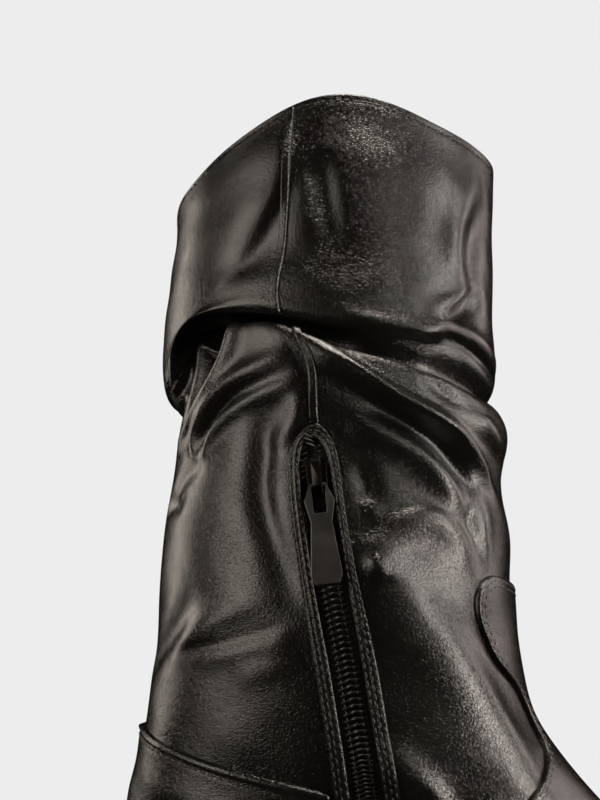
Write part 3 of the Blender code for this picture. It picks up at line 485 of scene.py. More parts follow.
FOLD_CREASES = (
    # crest of the great fold
    Crease(2, 3, (
        (-20, 236, 0), (-8, 235, 0.6), (7, 234, 0.8), (24, 234, 0.7), (42, 232, 0.6), (62, 228, 0),
    )),
    Crease(2.4, 4.5, (
        (-24, 231, 0), (-16, 233.5, 0.8), (-8, 234.5, 1.3), (-1, 235, 1.2), (6, 234.5, 0.6), (11, 234, 0),
    )),
    # second ridge down to the front, with the deep trough under it
    Crease(2.1, 1.7, (
        (0, 230, 0), (5, 229.5, 1.4), (11, 228.5, 2.2), (18, 224, 2.6), (25, 220.5, 2.8), (32, 218.2, 3),
        (41, 214.5, 2.9), (47, 209.5, 2.5), (53, 205, 1.8), (58, 201, 0.8), (66, 198, 0),
    )),
    Crease(1.9, 4.2, (
        (1, 223, 0), (7, 222.5, -1.6), (13, 220.5, -2.4), (20, 216.8, -3), (28, 213.2, -3.4),
        (36, 209.5, -3.4), (43, 203.5, -2.6), (49, 198, 0),
    )),
    # third ridge, wide and soft
    Crease(2.8, 3.5, (
        (8, 212, 0), (14, 211.5, 1.4), (20, 210.5, 2.2), (27, 207.5, 2.6), (33, 202.5, 2.7), (39, 196, 2.2),
        (44, 190.5, 0),
    )),
    # bulge between the crest and the second ridge
    Crease(3, 3.5, ((38, 229, 0), (45, 226, 0.8), (54, 221, 1.6), (66, 215, 1.4), (76, 211, 0))),
    Crease(3, 3, ((32, 231, 0), (38, 229, -1.1), (43, 227, -1.4), (49, 225, -1.1), (54, 222, 0))),
    # the great fold's edge at the back, with the pocket behind it
    Crease(1.6, 2.2, (
        (-18, 240, 0), (-19, 236, 1.8), (-22, 232.5, 2.6), (-28, 228.5, 2.8), (-36, 224.5, 2.8),
        (-48, 219.5, 2.2), (-60, 214, 0),
    )),
    Crease(2.4, 2.2, (
        (-22, 239, 0), (-26, 236, -5), (-32, 232.5, -7.5), (-39, 229, -7), (-47, 225, -4), (-57, 220, 0),
    )),
    Crease(1.3, 1.5, (
        (-49, 234, 0), (-45, 237.5, 3), (-39, 240, 5.5), (-31, 240.8, 6), (-24, 240, 4.5), (-18, 239, 2),
        (-12, 238, 0),
    )),
    # two arcs on the fold's flank with a dark furrow between them
    Crease(1.8, 1.6, (
        (-4, 228, 0), (-9, 227, 1.2), (-17, 225, 1.9), (-26, 223.5, 2.2), (-34, 221, 2.2), (-41, 217, 1.9),
        (-43, 212.5, 1.2), (-41, 207, 0),
    )),
    Crease(1.5, 1.5, (
        (-5, 224.5, 0), (-16, 222, -1.8), (-25, 220.2, -2.6), (-32, 217.5, -2.6), (-37, 213.5, -2),
        (-39, 208, 0),
    )),
    Crease(1.8, 2.2, (
        (-2, 222.5, 0), (-7, 222, 1.1), (-13, 221, 1.5), (-22, 219.3, 1.9), (-29, 216.3, 1.9),
        (-35, 212, 1.5), (-40, 206, 0),
    )),
    # the pillow and the spots by the zip's head
    Crease(2, 2.4, ((-3, 221, 0), (-4, 217, 1.2), (-5, 213, 1.4), (-8, 209.5, 1.1), (-12, 205, 0))),
    Crease(2.6, 3.4, (
        (-12, 219, 0), (-14, 211, -1.3), (-15, 203, -2), (-16, 195, -2.1), (-15, 186, -1.9),
        (-12.5, 176, -1.3), (-9, 160, 0),
    )),
    Crease(2.2, 2.2, ((-36, 207, 0), (-42, 205, -1), (-50, 203, -1.5), (-58, 199, -1.2), (-66, 197, 0))),
    Crease(2, 2, ((-46, 201, 0), (-50, 196, -0.9), (-58, 197, -1.6), (-66, 198, 0))),
    # the spots beside the zip below its head
    Crease(2, 2, ((10, 203, 0), (12, 198, -1.2), (12.5, 192, -1), (11, 186, 0))),
)
SHAFT_CREASES = (
    # the heel's swell
    Crease(7, 7, (
        (0, 100, 0), (-12, 102, 1.4), (-25, 105, 2), (-40, 110, 2), (-58, 114, 1.2), (-75, 116, 0),
    )),
    Crease(2.4, 3, (
        (-14, 168, 0), (-22, 166, 0.6), (-29, 164, 0.9), (-39, 161, 1), (-48, 157, 0.8), (-56, 153, 0),
    )),
    Crease(1.2, 1, (
        (-13, 160.5, 0), (-17, 159.5, -0.3), (-25, 157.5, -0.5), (-36, 156, -0.6), (-47, 155.5, -0.5),
        (-54, 154, 0),
    )),
    Crease(3, 3, (
        (-40, 171, 0), (-46, 166, -0.7), (-53, 161.5, -1.3), (-62, 158, -1.7), (-70, 155, -1.2),
        (-78, 152, 0),
    )),
    Crease(2, 2, ((-12, 158, 0), (-17, 156, 0.7), (-26, 155, 0.7), (-36, 153.5, 0.5), (-46, 153, 0))),
    Crease(2.4, 2.4, ((-10, 153, 0), (-16.5, 151, 0.7), (-24, 149, 0.6), (-30, 147, 0))),
    # the arch right of the zip, with its trough inside and its valley above
    Crease(1.9, 4, (
        (11, 171, 0), (11.5, 174.5, 1), (13, 179, 1), (17, 184, 1.3), (23, 187.5, 1.8), (29, 189, 2),
        (35, 187.5, 1.8), (40, 183, 1.1), (43, 176, 0),
    )),
    Crease(2.8, 2.8, (
        (20, 194, 0), (30, 196, -0.3), (40, 194, -0.8), (44, 188, -0.9), (47, 180, -0.7), (48, 172, 0),
    )),
    # small knuckles at the arch's foot and above it
    Crease(1.8, 1.8, ((12, 193, 0), (13, 190, 1), (13.5, 186, 0))),
    Crease(1.6, 1.6, ((11, 178, 0), (11.5, 174.5, 0.9), (12, 170, 0))),
    # the upright ridge near the front
    Crease(3.2, 4, ((50, 200, 0), (51, 193, 0.8), (50, 188, 1), (49, 183, 0.8), (48, 176, 0))),
    # the low swell beside the zip's foot
    Crease(3.5, 6, ((6, 134, 0), (9, 128, 1.2), (13, 121, 2), (16, 113, 2), (18, 104, 1.2), (19, 96, 0))),
    # the swell that runs down beside the tongue, long behind and short in front
    Crease(5.5, 10, (
        (12, 184, 0), (12.5, 178, 1.4), (14.5, 171, 2.3), (19, 164, 2.8), (26, 156.5, 3), (33, 148.5, 3.2),
        (39, 140, 2.9), (45, 128, 1.9), (47, 115, 0),
    )),
)
PULLS = (
    # the great fold's crest and the lip over it, drawn up behind the seam
    Pull(-16, 235, 11, 4.5, (-0.5, -0.5, 3)),
    Pull(-36, 238, 7, 4, (-4.5, -1.5, 4)),
    Pull(-27, 251, 12, 4.5, (-1, -1, 4.5)),
    Pull(-35, 252.5, 10, 4.5, (-2, -0.5, 4.5)),
)
CLOSINGS = (
    Closing(low=228, high=256, first=-68, last=-43, soft=7, bulge=0.4),
    Closing(low=237, high=255.5, first=8, last=118, soft=24, bulge=-1.8),
    Closing(low=237, high=258.5, first=44, last=118, soft=16, bulge=-3.4),
)


def matched(turn: Array | float, rise: Array | float) -> list[Array]:
    """Turns and rises of numbers with a point, in one common shape."""
    return np.broadcast_arrays(np.asarray(turn, float), np.asarray(rise, float))


@dataclass
class UpperForm:
    """The outside of the upper as a smooth function of turn and rise, with its creases."""

    creases: tuple[Crease, ...] = CUFF_CREASES + FOLD_CREASES + SHAFT_CREASES
    pulls: tuple[Pull, ...] = PULLS
    closings: tuple[Closing, ...] = CLOSINGS
    drape: float = 0.1  # height of the slow unevenness of the hide
    waves: int = 12  # how many sines it is made of
    wave_lengths: tuple[float, float] = (16, 46)  # mm of rise
    table_step: float = 0.5
    row: dict[str, float] = field(init=False)

    def __post_init__(self) -> None:
        """Reads every ring at the same places and joins them into one bicubic surface."""
        half = np.array(READ_AT)
        turn = np.concatenate([half, 1 - half[-2:0:-1]])
        rings = [foot_ring(dict(zip(FOOT_COLUMNS, row)), turn) for row in FOOT_RINGS.values()]
        rings += [shaft_ring(dict(zip(SHAFT_COLUMNS, row)), turn) for row in SHAFT_RINGS.values()]
        rings += [fold_ring(name, turn) for name in FOLD_OUT]
        points = np.array(rings)
        apart = np.linalg.norm(np.diff(points, axis=0), axis=2).mean(axis=1)
        self.rises = np.concatenate([[0], np.cumsum(apart)])
        self.row = dict(zip([*FOOT_RINGS, *SHAFT_RINGS, *FOLD_OUT], self.rises))
        self.top = float(self.rises[-1])
        self.turns = np.append(turn, 1.0)
        points = np.concatenate([points, points[:, :1]], axis=1)
        along = hermite_slopes(self.turns, points.swapaxes(0, 1), True).swapaxes(0, 1)
        up = hermite_slopes(self.rises, points, False)
        both = hermite_slopes(self.rises, along, False)
        self.fields = (points, along), (up, both)
        self.table_rise = np.arange(0, self.top + self.table_step, self.table_step)
        self.lines = {side: self.trace_line(side) for side in Side}

    def at(self, turn: Array, rise: Array) -> Array:
        """Points of the smooth outside: a bicubic in turn and rise.

        Args:
            turn: part of the turn.
            rise: mm up the surface.

        Returns:
            Points in mm.
        """
        turn, rise = matched(turn, rise)
        turn, rise = turn % 1, np.clip(rise, 0, self.top)
        column, turn_value, turn_slope = hermite_weights(self.turns, turn)
        row, rise_value, rise_slope = hermite_weights(self.rises, rise)
        found = 0
        for j in (0, 1):
            for i in (0, 1):
                for rise_weight, fields in zip((rise_value[j], rise_slope[j]), self.fields):
                    for turn_weight, block in zip((turn_value[i], turn_slope[i]), fields):
                        weight = rise_weight * turn_weight
                        found = found + weight[..., None] * block[row + j, column + i]
        return found

    def outward(self, turn: Array, rise: Array) -> Array:
        """Unit normals away from the inside: the cross product of a step along the turn and a step up.

        Args:
            turn: part of the turn.
            rise: mm up the surface.

        Returns:
            Unit vectors.
        """
        turn, rise = matched(turn, rise)
        low, high = np.clip(rise - 0.2, 0, self.top), np.clip(rise + 0.2, 0, self.top)
        across = self.at(turn + 0.001, rise) - self.at(turn - 0.001, rise)
        up = self.at(turn, high) - self.at(turn, low)
        normal = np.cross(across, up)
        return normal / np.linalg.norm(normal, axis=-1, keepdims=True)

    def trace_line(self, side: Side) -> tuple[Array, Array]:
        """Where a side's middle line runs: the turn at which x falls to the line's own x at that height.

        Args:
            side: outer or inner.

        Returns:
            For each rise of the table, the turn and the part of the turn that one millimetre takes.
        """
        height, line_x = (np.array(column) for column in zip(*SIDE_LINE))
        rise = np.clip(self.table_rise, 0, self.top)
        part = np.linspace(0.12, 0.46, 137)
        turn = part if side is Side.OUTER else 1 - part
        point = self.at(turn, rise[:, None])
        ahead = point[..., 0] - spline(height, line_x, point[..., 2])
        after = np.argmax(ahead < 0, axis=1)
        every = np.arange(len(rise))
        before = ahead[every, after - 1]
        share = before / (before - ahead[every, after])
        middle = turn[after - 1] + share * (turn[1] - turn[0])
        there = self.at(middle + 0.004, rise) - self.at(middle - 0.004, rise)
        return middle, 0.008 / np.linalg.norm(there, axis=-1)

    def line(self, rise: Array, side: Side = Side.INNER) -> tuple[Array, Array]:
        """A side's middle line, from the traced table.

        Args:
            rise: mm up the surface.
            side: outer or inner.

        Returns:
            Its turn, and the part of the turn that one millimetre takes there.
        """
        middle, per_mm = self.lines[side]
        return np.interp(rise, self.table_rise, middle), np.interp(rise, self.table_rise, per_mm)

    def beside(self, ahead: Array, rise: Array, side: Side = Side.INNER) -> Array:
        """The turn that lies some millimetres towards the toe from a side's middle line."""
        middle, per_mm = self.line(rise, side)
        return middle + ahead * per_mm * (1 if side is Side.INNER else -1)

    def relief(self, turn: Array, rise: Array) -> Array:
        """Height of the creases and of the hide's slow unevenness.

        The unevenness is a sum of sines with whole numbers of waves round the boot, so that it closes.

        Args:
            turn: part of the turn.
            rise: mm up the surface.

        Returns:
            mm outwards.
        """
        turn, rise = matched(turn, rise)
        middle, per_mm = self.line(rise)
        girth = 1 / per_mm
        ahead = (turn - middle) * girth
        found = np.zeros(turn.shape)
        for crease in self.creases:
            centre = np.mean([place[0] for place in crease.line])
            found += crease.height(ahead - girth * np.round((ahead - centre) / girth), rise)
        chance = np.random.default_rng(11)
        for count in range(self.waves):
            around = int(chance.integers(2, 15)) * (1 if count % 2 else -1)
            length = chance.uniform(*self.wave_lengths)
            found += self.drape * chance.uniform(0.2, 0.5) * np.sin(
                2 * np.pi * (around * turn + rise / length + chance.uniform())
            )
        return found

    def skin(self, turn: Array, rise: Array, lift: Array | float = 0.0) -> Array:
        """Points on the creased leather: the smooth surface moved along its normal by relief + lift.

        Above the rim the surface goes straight on.

        Args:
            turn: part of the turn.
            rise: mm up the surface.
            lift: mm outwards from the leather's face.

        Returns:
            Points in mm.
        """
        turn, rise = matched(turn, rise)
        held = np.clip(rise, 0, self.top)
        base = self.at(turn, held)
        up = self.at(turn, self.top) - self.at(turn, self.top - 0.5)
        base = base + up / 0.5 * (rise - held)[..., None]
        middle, per_mm = self.line(held)
        ahead = (turn - middle) / per_mm
        for pull in self.pulls:
            base = base + pull.move(ahead, held)
        out = self.outward(turn, held)
        for closing in self.closings:
            low, high = (np.full(turn.shape, end) for end in (closing.low, closing.high))
            middle, per_mm = self.line(high)
            closed, climb = (share[..., None] for share in closing.share(turn - middle, per_mm, held))
            straight = self.at(turn, low) * (1 - climb) + self.at(turn, high) * climb
            out_there = self.outward(turn, high)
            base = base + closed * (straight + closing.belly(climb) * out_there - base)
            out = out + closed * (out_there - out)
        return base + (self.relief(turn, held) + lift)[..., None] * out

    def rise_at(self, turn: Array, height: Array, most: float = 200.0) -> Array:
        """The rise at which the surface passes a height above the ground, read from a fine table.

        Args:
            turn: part of the turn, one per column.
            height: mm above the ground, one per column.
            most: the table's last rise.

        Returns:
            mm of rise, one per column.
        """
        table = np.linspace(20, most, 400)
        found = self.at(np.asarray(turn)[None], table[:, None])[..., 2]
        after = np.argmax(found > height, axis=0)
        every = np.arange(len(after))
        low, high = found[after - 1, every], found[after, every]
        return table[after - 1] + (height - low) / (high - low) * (table[1] - table[0])


# ---- meshes


def make_mesh(name: str, points: Array, quads: Faces, caps: Sequence[Sequence[int]] = ()) -> Piece:
    """A mesh object from points, four-sided faces and a few many-sided ones.

    Args:
        name: the piece's name.
        points: corners in mm.
        quads: four corner numbers for each face.
        caps: corner numbers of each many-sided face.

    Returns:
        The object, linked to the scene, smooth shaded but for its caps.
    """
    mesh = bpy.data.meshes.new(name)
    flat = np.asarray(points, float).reshape(-1, 3) * MM
    loops = np.concatenate([np.asarray(quads).ravel(), *(np.asarray(cap) for cap in caps)]).astype(np.int32)
    sizes = np.array([4] * len(quads) + [len(cap) for cap in caps])
    starts = np.concatenate([[0], np.cumsum(sizes)[:-1]]).astype(np.int32)
    mesh.vertices.add(len(flat))
    mesh.vertices.foreach_set("co", flat.astype(np.float32).ravel())
    mesh.loops.add(len(loops))
    mesh.loops.foreach_set("vertex_index", loops)
    mesh.polygons.add(len(sizes))
    mesh.polygons.foreach_set("loop_start", starts)
    mesh.polygons.foreach_set("use_smooth", np.arange(len(sizes)) < len(quads))
    mesh.update(calc_edges=True)
    mesh.validate()
    obj = bpy.data.objects.new(name, mesh)
    bpy.context.scene.collection.objects.link(obj)
    return obj


def grid_quads(rows: int, columns: int, close_rows: bool = False, close_columns: bool = False) -> Faces:
    """Faces of a grid whose corner (j, i) is number j * columns + i, going round where it closes.

    Args:
        rows: rows of corners.
        columns: columns of corners.
        close_rows: whether the last row joins the first.
        close_columns: whether the last column joins the first.

    Returns:
        Four corner numbers for each face.
    """
    j = np.arange(rows if close_rows else rows - 1)[:, None]
    i = np.arange(columns if close_columns else columns - 1)[None]
    below, above = j * columns, (j + 1) % rows * columns
    left, right = i, (i + 1) % columns
    corners = np.broadcast_arrays(below + left, below + right, above + right, above + left)
    return np.stack(corners, -1).reshape(-1, 4)


@dataclass(frozen=True)
class Band:
    """The section of a leather layer laid over the upper: full height but for its rounded edges."""

    height: float = 1.35
    edge: float = 1.0  # mm over which an edge rounds down
    sunk: float = 0.35  # how far its underside lies in the leather

    def lift(self, inside: Array) -> Array:
        """Lift at a distance inside the edge: a quarter circle from the sunk edge up to the full height."""
        share = np.clip(inside / self.edge, 0, 1)
        return -self.sunk + (self.height + self.sunk) * np.sqrt(1 - (1 - share) ** 2)


def layer_mesh(name: str, form: UpperForm, turn: Array, rise: Array, lift: Array, sunk: float) -> Piece:
    """A closed layer on the upper: face through a grid, underside through every fourth column, ends filled.

    Args:
        name: the piece's name.
        form: the upper it lies on.
        turn: (rows, columns), with the turn growing along a row.
        rise: (rows, columns), or (rows, 1) where a row runs level.
        lift: (rows, columns), mm above the leather.
        sunk: depth of its underside under the leather's face.

    Returns:
        The object.
    """
    rise = np.broadcast_to(rise, turn.shape)
    columns = turn.shape[1]
    under = np.arange(columns - 1, -1, -4)
    under = under[(under < columns - 1) & (under > 0)]
    around = np.concatenate([np.arange(columns), under])
    loop_lift = np.concatenate([lift, np.full((len(turn), len(under)), -sunk)], 1)
    points = form.skin(turn[:, around], rise[:, around], loop_lift)
    rows, corners = points.shape[:2]
    caps = [np.arange(corners)[::-1], np.arange((rows - 1) * corners, rows * corners)]
    return make_mesh(name, points, grid_quads(rows, corners, close_columns=True), caps)


def spaced(first: float, last: float, step: float) -> Array:
    """Evenly spaced numbers from first to last with about that step."""
    return np.linspace(first, last, max(2, int(round(abs(last - first) / step)) + 1))


@dataclass(frozen=True)
class Stitch:
    """The sizes in mm of the stitches of a row."""

    pitch: float
    length: float
    thick: float
    sink: float = 0.1  # how deep its middle line lies


def read_line(travel: Array, line: Array, at: Array) -> Array:
    """The places of a line at some lengths along it, straight between its points."""
    return np.stack([np.interp(at, travel, column) for column in line.T], 1)


def seam_stitches(path: Array, outward: Array, stitch: Stitch) -> tuple[Array, Faces]:
    """A row of stitches along a path: each one a small egg, long, low and a little sunk.

    Corner (a, b) of a stitch is at length / 2 * cos(a) along it and thick / 2 * sin(a) round it.

    Args:
        path: points in mm.
        outward: unit normal at each of them.
        stitch: the sizes.

    Returns:
        Corners in mm and faces.
    """
    travel = np.concatenate([[0], np.cumsum(np.linalg.norm(np.diff(path, axis=0), axis=1))])
    middle = np.arange(stitch.pitch / 2, travel[-1], stitch.pitch)
    half, round_half = stitch.length / 2, stitch.thick / 2
    place, normal = read_line(travel, path, middle), read_line(travel, outward, middle)
    along = read_line(travel, path, middle + half) - read_line(travel, path, middle - half)
    along /= np.linalg.norm(along, axis=1, keepdims=True)
    across = np.cross(normal, along)
    across /= np.linalg.norm(across, axis=1, keepdims=True)
    normal = np.cross(along, across)
    polar = np.linspace(0.12, np.pi - 0.12, 5)[:, None]
    round_it = np.arange(6)[None] * np.pi / 3
    wide = round_half * np.sin(polar)
    local = np.broadcast_arrays(-half * np.cos(polar), wide * np.cos(round_it), wide * np.sin(round_it))
    local = np.stack(local, -1).reshape(-1, 3)
    axes = np.stack([along, across, normal], 1)
    points = place[:, None] - stitch.sink * normal[:, None] + np.einsum("vk,nkd->nvd", local, axes)
    one = grid_quads(5, 6, close_columns=True)
    ends = np.array([[3, 2, 1, 0], [5, 4, 3, 0], [24, 25, 26, 27], [24, 27, 28, 29]])
    one = np.concatenate([one, ends])
    faces = (one[None] + len(local) * np.arange(len(middle))[:, None, None]).reshape(-1, 4)
    return points.reshape(-1, 3), faces


def sewn_row(form: UpperForm, turn: Array, rise: Array, lift: float, stitch: Stitch) -> tuple[Array, Faces]:
    """A row of stitches along a line on the upper.

    Args:
        form: the upper's surface.
        turn: part of the turn at each place of the line.
        rise: mm up it.
        lift: mm above the leather at which the thread lies.
        stitch: the sizes.

    Returns:
        Corners in mm and faces.
    """
    return seam_stitches(form.skin(turn, rise, lift), form.outward(turn, rise), stitch)


def joined(name: str, parts: Sequence[tuple[Array, Faces]]) -> Piece:
    """Many small closed shapes as one mesh.

    Args:
        name: the piece's name.
        parts: corners and faces of each row of shapes.

    Returns:
        The object.
    """
    before = np.cumsum([0] + [len(points) for points, _ in parts[:-1]])
    faces = np.concatenate([faces + start for (_, faces), start in zip(parts, before)])
    return make_mesh(name, np.concatenate([points for points, _ in parts]), faces)


def sweep(path: Array, normal: Array, radius: float) -> tuple[Array, Faces]:
    """A six-sided wire along a path, with its two ends filled.

    Corner (j, i) is path[j] + radius * (cos(a) * side[j] + sin(a) * top[j]), where top is the normal made
    square to the path and side is square to both.

    Args:
        path: points in mm.
        normal: a direction for each, not along the path.
        radius: of the wire.

    Returns:
        Corners in mm and faces.
    """
    along = np.gradient(path, axis=0)
    along /= np.linalg.norm(along, axis=1, keepdims=True)
    side = np.cross(along, normal)
    side /= np.linalg.norm(side, axis=1, keepdims=True)
    top = np.cross(side, along)
    sides = 6
    angle = np.arange(sides) * 2 * np.pi / sides
    ring = np.cos(angle)[None, :, None] * side[:, None] + np.sin(angle)[None, :, None] * top[:, None]
    points = (path[:, None] + radius * ring).reshape(-1, 3)
    first_end = np.array([[3, 2, 1, 0], [5, 4, 3, 0]])
    last_end = (len(path) - 1) * sides + np.array([[0, 1, 2, 3], [0, 3, 4, 5]])
    quads = np.concatenate([grid_quads(len(path), sides, close_columns=True), first_end, last_end])
    return points, quads[:, ::-1]


def rounded(points: Array, counts: Sequence[int], smoothing: int, closed: bool) -> Array:
    """A line through points with soft corners: read evenly between them, then a moving mean three times.

    Args:
        points: knots.
        counts: how many steps each stretch takes.
        smoothing: half width of the mean, in steps.
        closed: whether the last knot joins the first.

    Returns:
        The line's points.
    """
    knots = np.concatenate([points, points[:1]]) if closed else points
    share = np.concatenate([k + np.arange(count) / count for k, count in enumerate(counts)])
    if not closed:
        share = np.append(share, len(counts))
    line = np.stack([np.interp(share, np.arange(len(knots)), column) for column in knots.T], 1)
    mode = "wrap" if closed else "edge"
    box = np.ones(2 * smoothing + 1) / (2 * smoothing + 1)
    for _ in range(3):
        wide = np.pad(line, ((smoothing, smoothing), (0, 0)), mode=mode)
        line = np.stack([np.convolve(column, box, "valid") for column in wide.T], 1)
    return line


# ---- finishes


def linear(colour: str) -> tuple[float, float, float, float]:
    """An sRGB hex colour, such as 1b1614, as linear light: c / 12.92, or ((c + 0.055) / 1.055) ^ 2.4."""
    values = (int(colour[k : k + 2], 16) / 255 for k in (0, 2, 4))
    return (*(c / 12.92 if c <= 0.04045 else ((c + 0.055) / 1.055) ** 2.4 for c in values), 1.0)


def add_node(tree: Nodes, kind: str, settings: dict | None = None, **inputs: object) -> bpy.types.Node:
    """Adds a node with its settings, its values and its links.

    Args:
        tree: the material's nodes.
        kind: the node's type.
        settings: its properties by name.
        inputs: a value, or an output to link, for each input by name, with _ for a space; a name in_0 stands
            for the input with that number.

    Returns:
        The node.
    """
    node = tree.nodes.new(kind)
    for name, value in (settings or {}).items():
        setattr(node, name, value)
    for name, value in inputs.items():
        socket = node.inputs[int(name[3:])] if name.startswith("in_") else node.inputs[name.replace("_", " ")]
        if isinstance(value, Socket):
            tree.links.new(value, socket)
        else:
            socket.default_value = value
    return node


def per_metre(size: float) -> float:
    """A pattern's scale on Object coordinates from the size in mm of one of its cells."""
    return 1 / (size * MM)


@dataclass(frozen=True)
class Finish:
    """A surface whose colour and gloss wander slowly over a fine relief.

    Rubber, metal, lining and thread differ by its colours, its grain and its depth.
    """

    name: str
    slot: str
    roughness: float = 0.5
    metallic: float = 0.0
    ior: float = 1.5
    coat: float = 0.0
    coat_roughness: float = 0.1
    dark: str = "101010"
    light: str = "1c1c1c"
    grain: float = 0.5  # mm
    depth: float = 0.03  # mm
    patch: float = 9.0  # mm over which colour and gloss wander
    patch_detail: float = 0.5
    glossier: float = 0.04  # how far the roughness falls below its middle value
    duller: float = 0.06  # how far it rises above it
    stretch: tuple[float, float, float] = (1.0, 1.0, 1.0)

    def relief(self, tree: Nodes, place: Socket, drawn: Socket) -> tuple[Socket, Socket]:
        """One noise at the grain's size, drawn out with the surface.

        Args:
            tree: the material's nodes.
            place: Object coordinates; not used here.
            drawn: the same, stretched.

        Returns:
            The relief's height, and the coordinates that the slow patches follow.
        """
        fine = add_node(
            tree, "ShaderNodeTexNoise", Vector=drawn, Scale=per_metre(self.grain), Detail=4.0, Roughness=0.6
        )
        return fine.outputs["Fac"], drawn

    def make(self) -> Material:
        """The material: bump from the relief, colour and gloss from one slow noise.

        Returns:
            The material.
        """
        material = bpy.data.materials.new(self.name)
        material.use_nodes = True
        tree = material.node_tree
        shader = tree.nodes["Principled BSDF"]
        shader.inputs["Roughness"].default_value = self.roughness
        shader.inputs["Metallic"].default_value = self.metallic
        shader.inputs["IOR"].default_value = self.ior
        shader.inputs["Coat Weight"].default_value = self.coat
        shader.inputs["Coat Roughness"].default_value = self.coat_roughness
        place = add_node(tree, "ShaderNodeTexCoord").outputs["Object"]
        drawn = add_node(tree, "ShaderNodeMapping", Vector=place, Scale=self.stretch).outputs["Vector"]
        height, followed = self.relief(tree, place, drawn)
        slow = add_node(
            tree, "ShaderNodeTexNoise",
            Vector=followed, Scale=per_metre(self.patch), Detail=3.0, Roughness=self.patch_detail,
        ).outputs["Fac"]
        bump = add_node(tree, "ShaderNodeBump", Strength=1.0, Distance=self.depth * MM, Height=height)
        dark, light = linear(self.dark), linear(self.light)
        colour = add_node(tree, "ShaderNodeMix", {"data_type": "RGBA"}, in_0=slow, in_6=dark, in_7=light)
        gloss = add_node(
            tree, "ShaderNodeMapRange", Value=slow, From_Min=0.3, From_Max=0.7,
            To_Min=self.roughness - self.glossier, To_Max=self.roughness + self.duller,
        )
        tree.links.new(bump.outputs["Normal"], shader.inputs["Normal"])
        tree.links.new(colour.outputs[2], shader.inputs["Base Color"])
        tree.links.new(gloss.outputs["Result"], shader.inputs["Roughness"])
        return material


@dataclass(frozen=True)
class CoatedLeather(Finish):
    """Split leather under a thin film of black polyurethane, embossed with a fine pebble grain.

    The film gives long, bright highlights; the pebbles, about half a millimetre across, break their edges.
    """

    fold_line: float = 3.2  # mm between the fine lines of the hide
    fold_share: float = 0.3  # their height beside the pebbles'

    def relief(self, tree: Nodes, place: Socket, drawn: Socket) -> tuple[Socket, Socket]:
        """Pebbles from a bent fine noise, which lie sideways, over the hide's lines from a slower one.

        Args:
            tree: the material's nodes.
            place: Object coordinates.
            drawn: the same, stretched.

        Returns:
            The relief's height, and the coordinates that the slow patches follow.
        """
        pebbles = add_node(
            tree, "ShaderNodeTexNoise",
            Vector=drawn, Scale=per_metre(self.grain), Detail=1.5, Roughness=0.5, Distortion=0.6,
        )
        scale = per_metre(self.fold_line)
        lines = add_node(tree, "ShaderNodeTexNoise", Vector=place, Scale=scale, Detail=3.0)
        height = add_node(
            tree, "ShaderNodeMath", {"operation": "MULTIPLY_ADD"},
            in_0=lines.outputs["Fac"], in_1=self.fold_share, in_2=pebbles.outputs["Fac"],
        )
        return height.outputs["Value"], place


LEATHER = CoatedLeather(
    "black_coated_leather", "black_leather", roughness=0.18, dark="090908", light="110f0c",
    grain=0.46, depth=0.15, stretch=(0.8, 0.8, 1.25), patch=22.0, patch_detail=0.55,
    glossier=0.03, duller=0.03,
)
# Knitted polyester with a short nap: dull, warm and without a highlight
LINING = Finish(
    "tricot_lining", "insole_lining", roughness=0.85, dark="231f1c", light="302a26",
    grain=0.5, depth=0.08,
)
# Moulded in a blasted steel mould: an even, soft sheen on a dense black
RUBBER = Finish(
    "moulded_black_rubber", "black_rubber", roughness=0.6, dark="131313", light="1d1c1b",
    grain=0.4, depth=0.03,
)
# Layers of leather board under lacquer: fine level lines below a clear gloss
STACKED = Finish(
    "lacquered_stacked_heel", "stacked_heel", roughness=0.38, coat=0.3, dark="100e0d", light="1e1917",
    grain=0.9, depth=0.05, stretch=(0.15, 0.15, 1.6),
)
# Woven polyester: matt, with the weave as a faint roughness; it sets off the shining coils
TAPE = Finish(
    "woven_polyester_tape", "black_tape", roughness=0.9, dark="0c0c0c", light="161616",
    grain=0.35, depth=0.1,
)
# Drawn monofilament: smooth, so that each turn of the coil carries one small bright line
NYLON = Finish(
    "drawn_nylon_coil", "black_nylon", roughness=0.3, dark="0d0d0d", light="161515",
    grain=0.8, depth=0.01,
)
# Bonded and waxed polyester thread: a little lighter and shinier than the seam that it lies in
THREAD = Finish(
    "waxed_black_thread", "black_leather", roughness=0.3, dark="161312", light="26221f",
    grain=0.18, depth=0.03,
)
# Zinc, plated dark and tumbled: a grey metal whose highlights are wide and soft
GUNMETAL = Finish(
    "tumbled_gunmetal", "gunmetal", roughness=0.42, metallic=1.0, dark="434140", light="545250",
    grain=0.4, depth=0.012,
)
# Zinc, cast and plated in black nickel: darker and sharper than the tab
BLACK_NICKEL = Finish(
    "black_nickel_cast", "gunmetal", roughness=0.3, metallic=1.0, dark="201d1c", light="2c2826",
    grain=0.4, depth=0.012,
)


class Wardrobe:
    """The materials, each made once, and what puts them on a piece."""

    def __init__(self) -> None:
        """Starts without any."""
        self.made: dict[str, Material] = {}

    def of(self, finish: Finish) -> Material:
        """The material of a finish, made on first use.

        Args:
            finish: the finish.

        Returns:
            The material.
        """
        if finish.name not in self.made:
            self.made[finish.name] = finish.make()
        return self.made[finish.name]

    def dress(self, obj: Piece, finish: Finish, body: str = BOOT, nodes: Sequence[str] = ()) -> None:
        """Puts a finish on a new piece, rides it on its body and lets it stand for its solids.

        Args:
            obj: the piece.
            finish: its finish.
            body: the body that it moves with.
            nodes: the solids that it replaces.
        """
        obj.data.materials.append(self.of(finish))
        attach(obj, body)
        if nodes:
            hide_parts(*nodes)
        LOG.info("%s: %d faces", obj.name, len(obj.data.polygons))


# ---- the upper's pieces


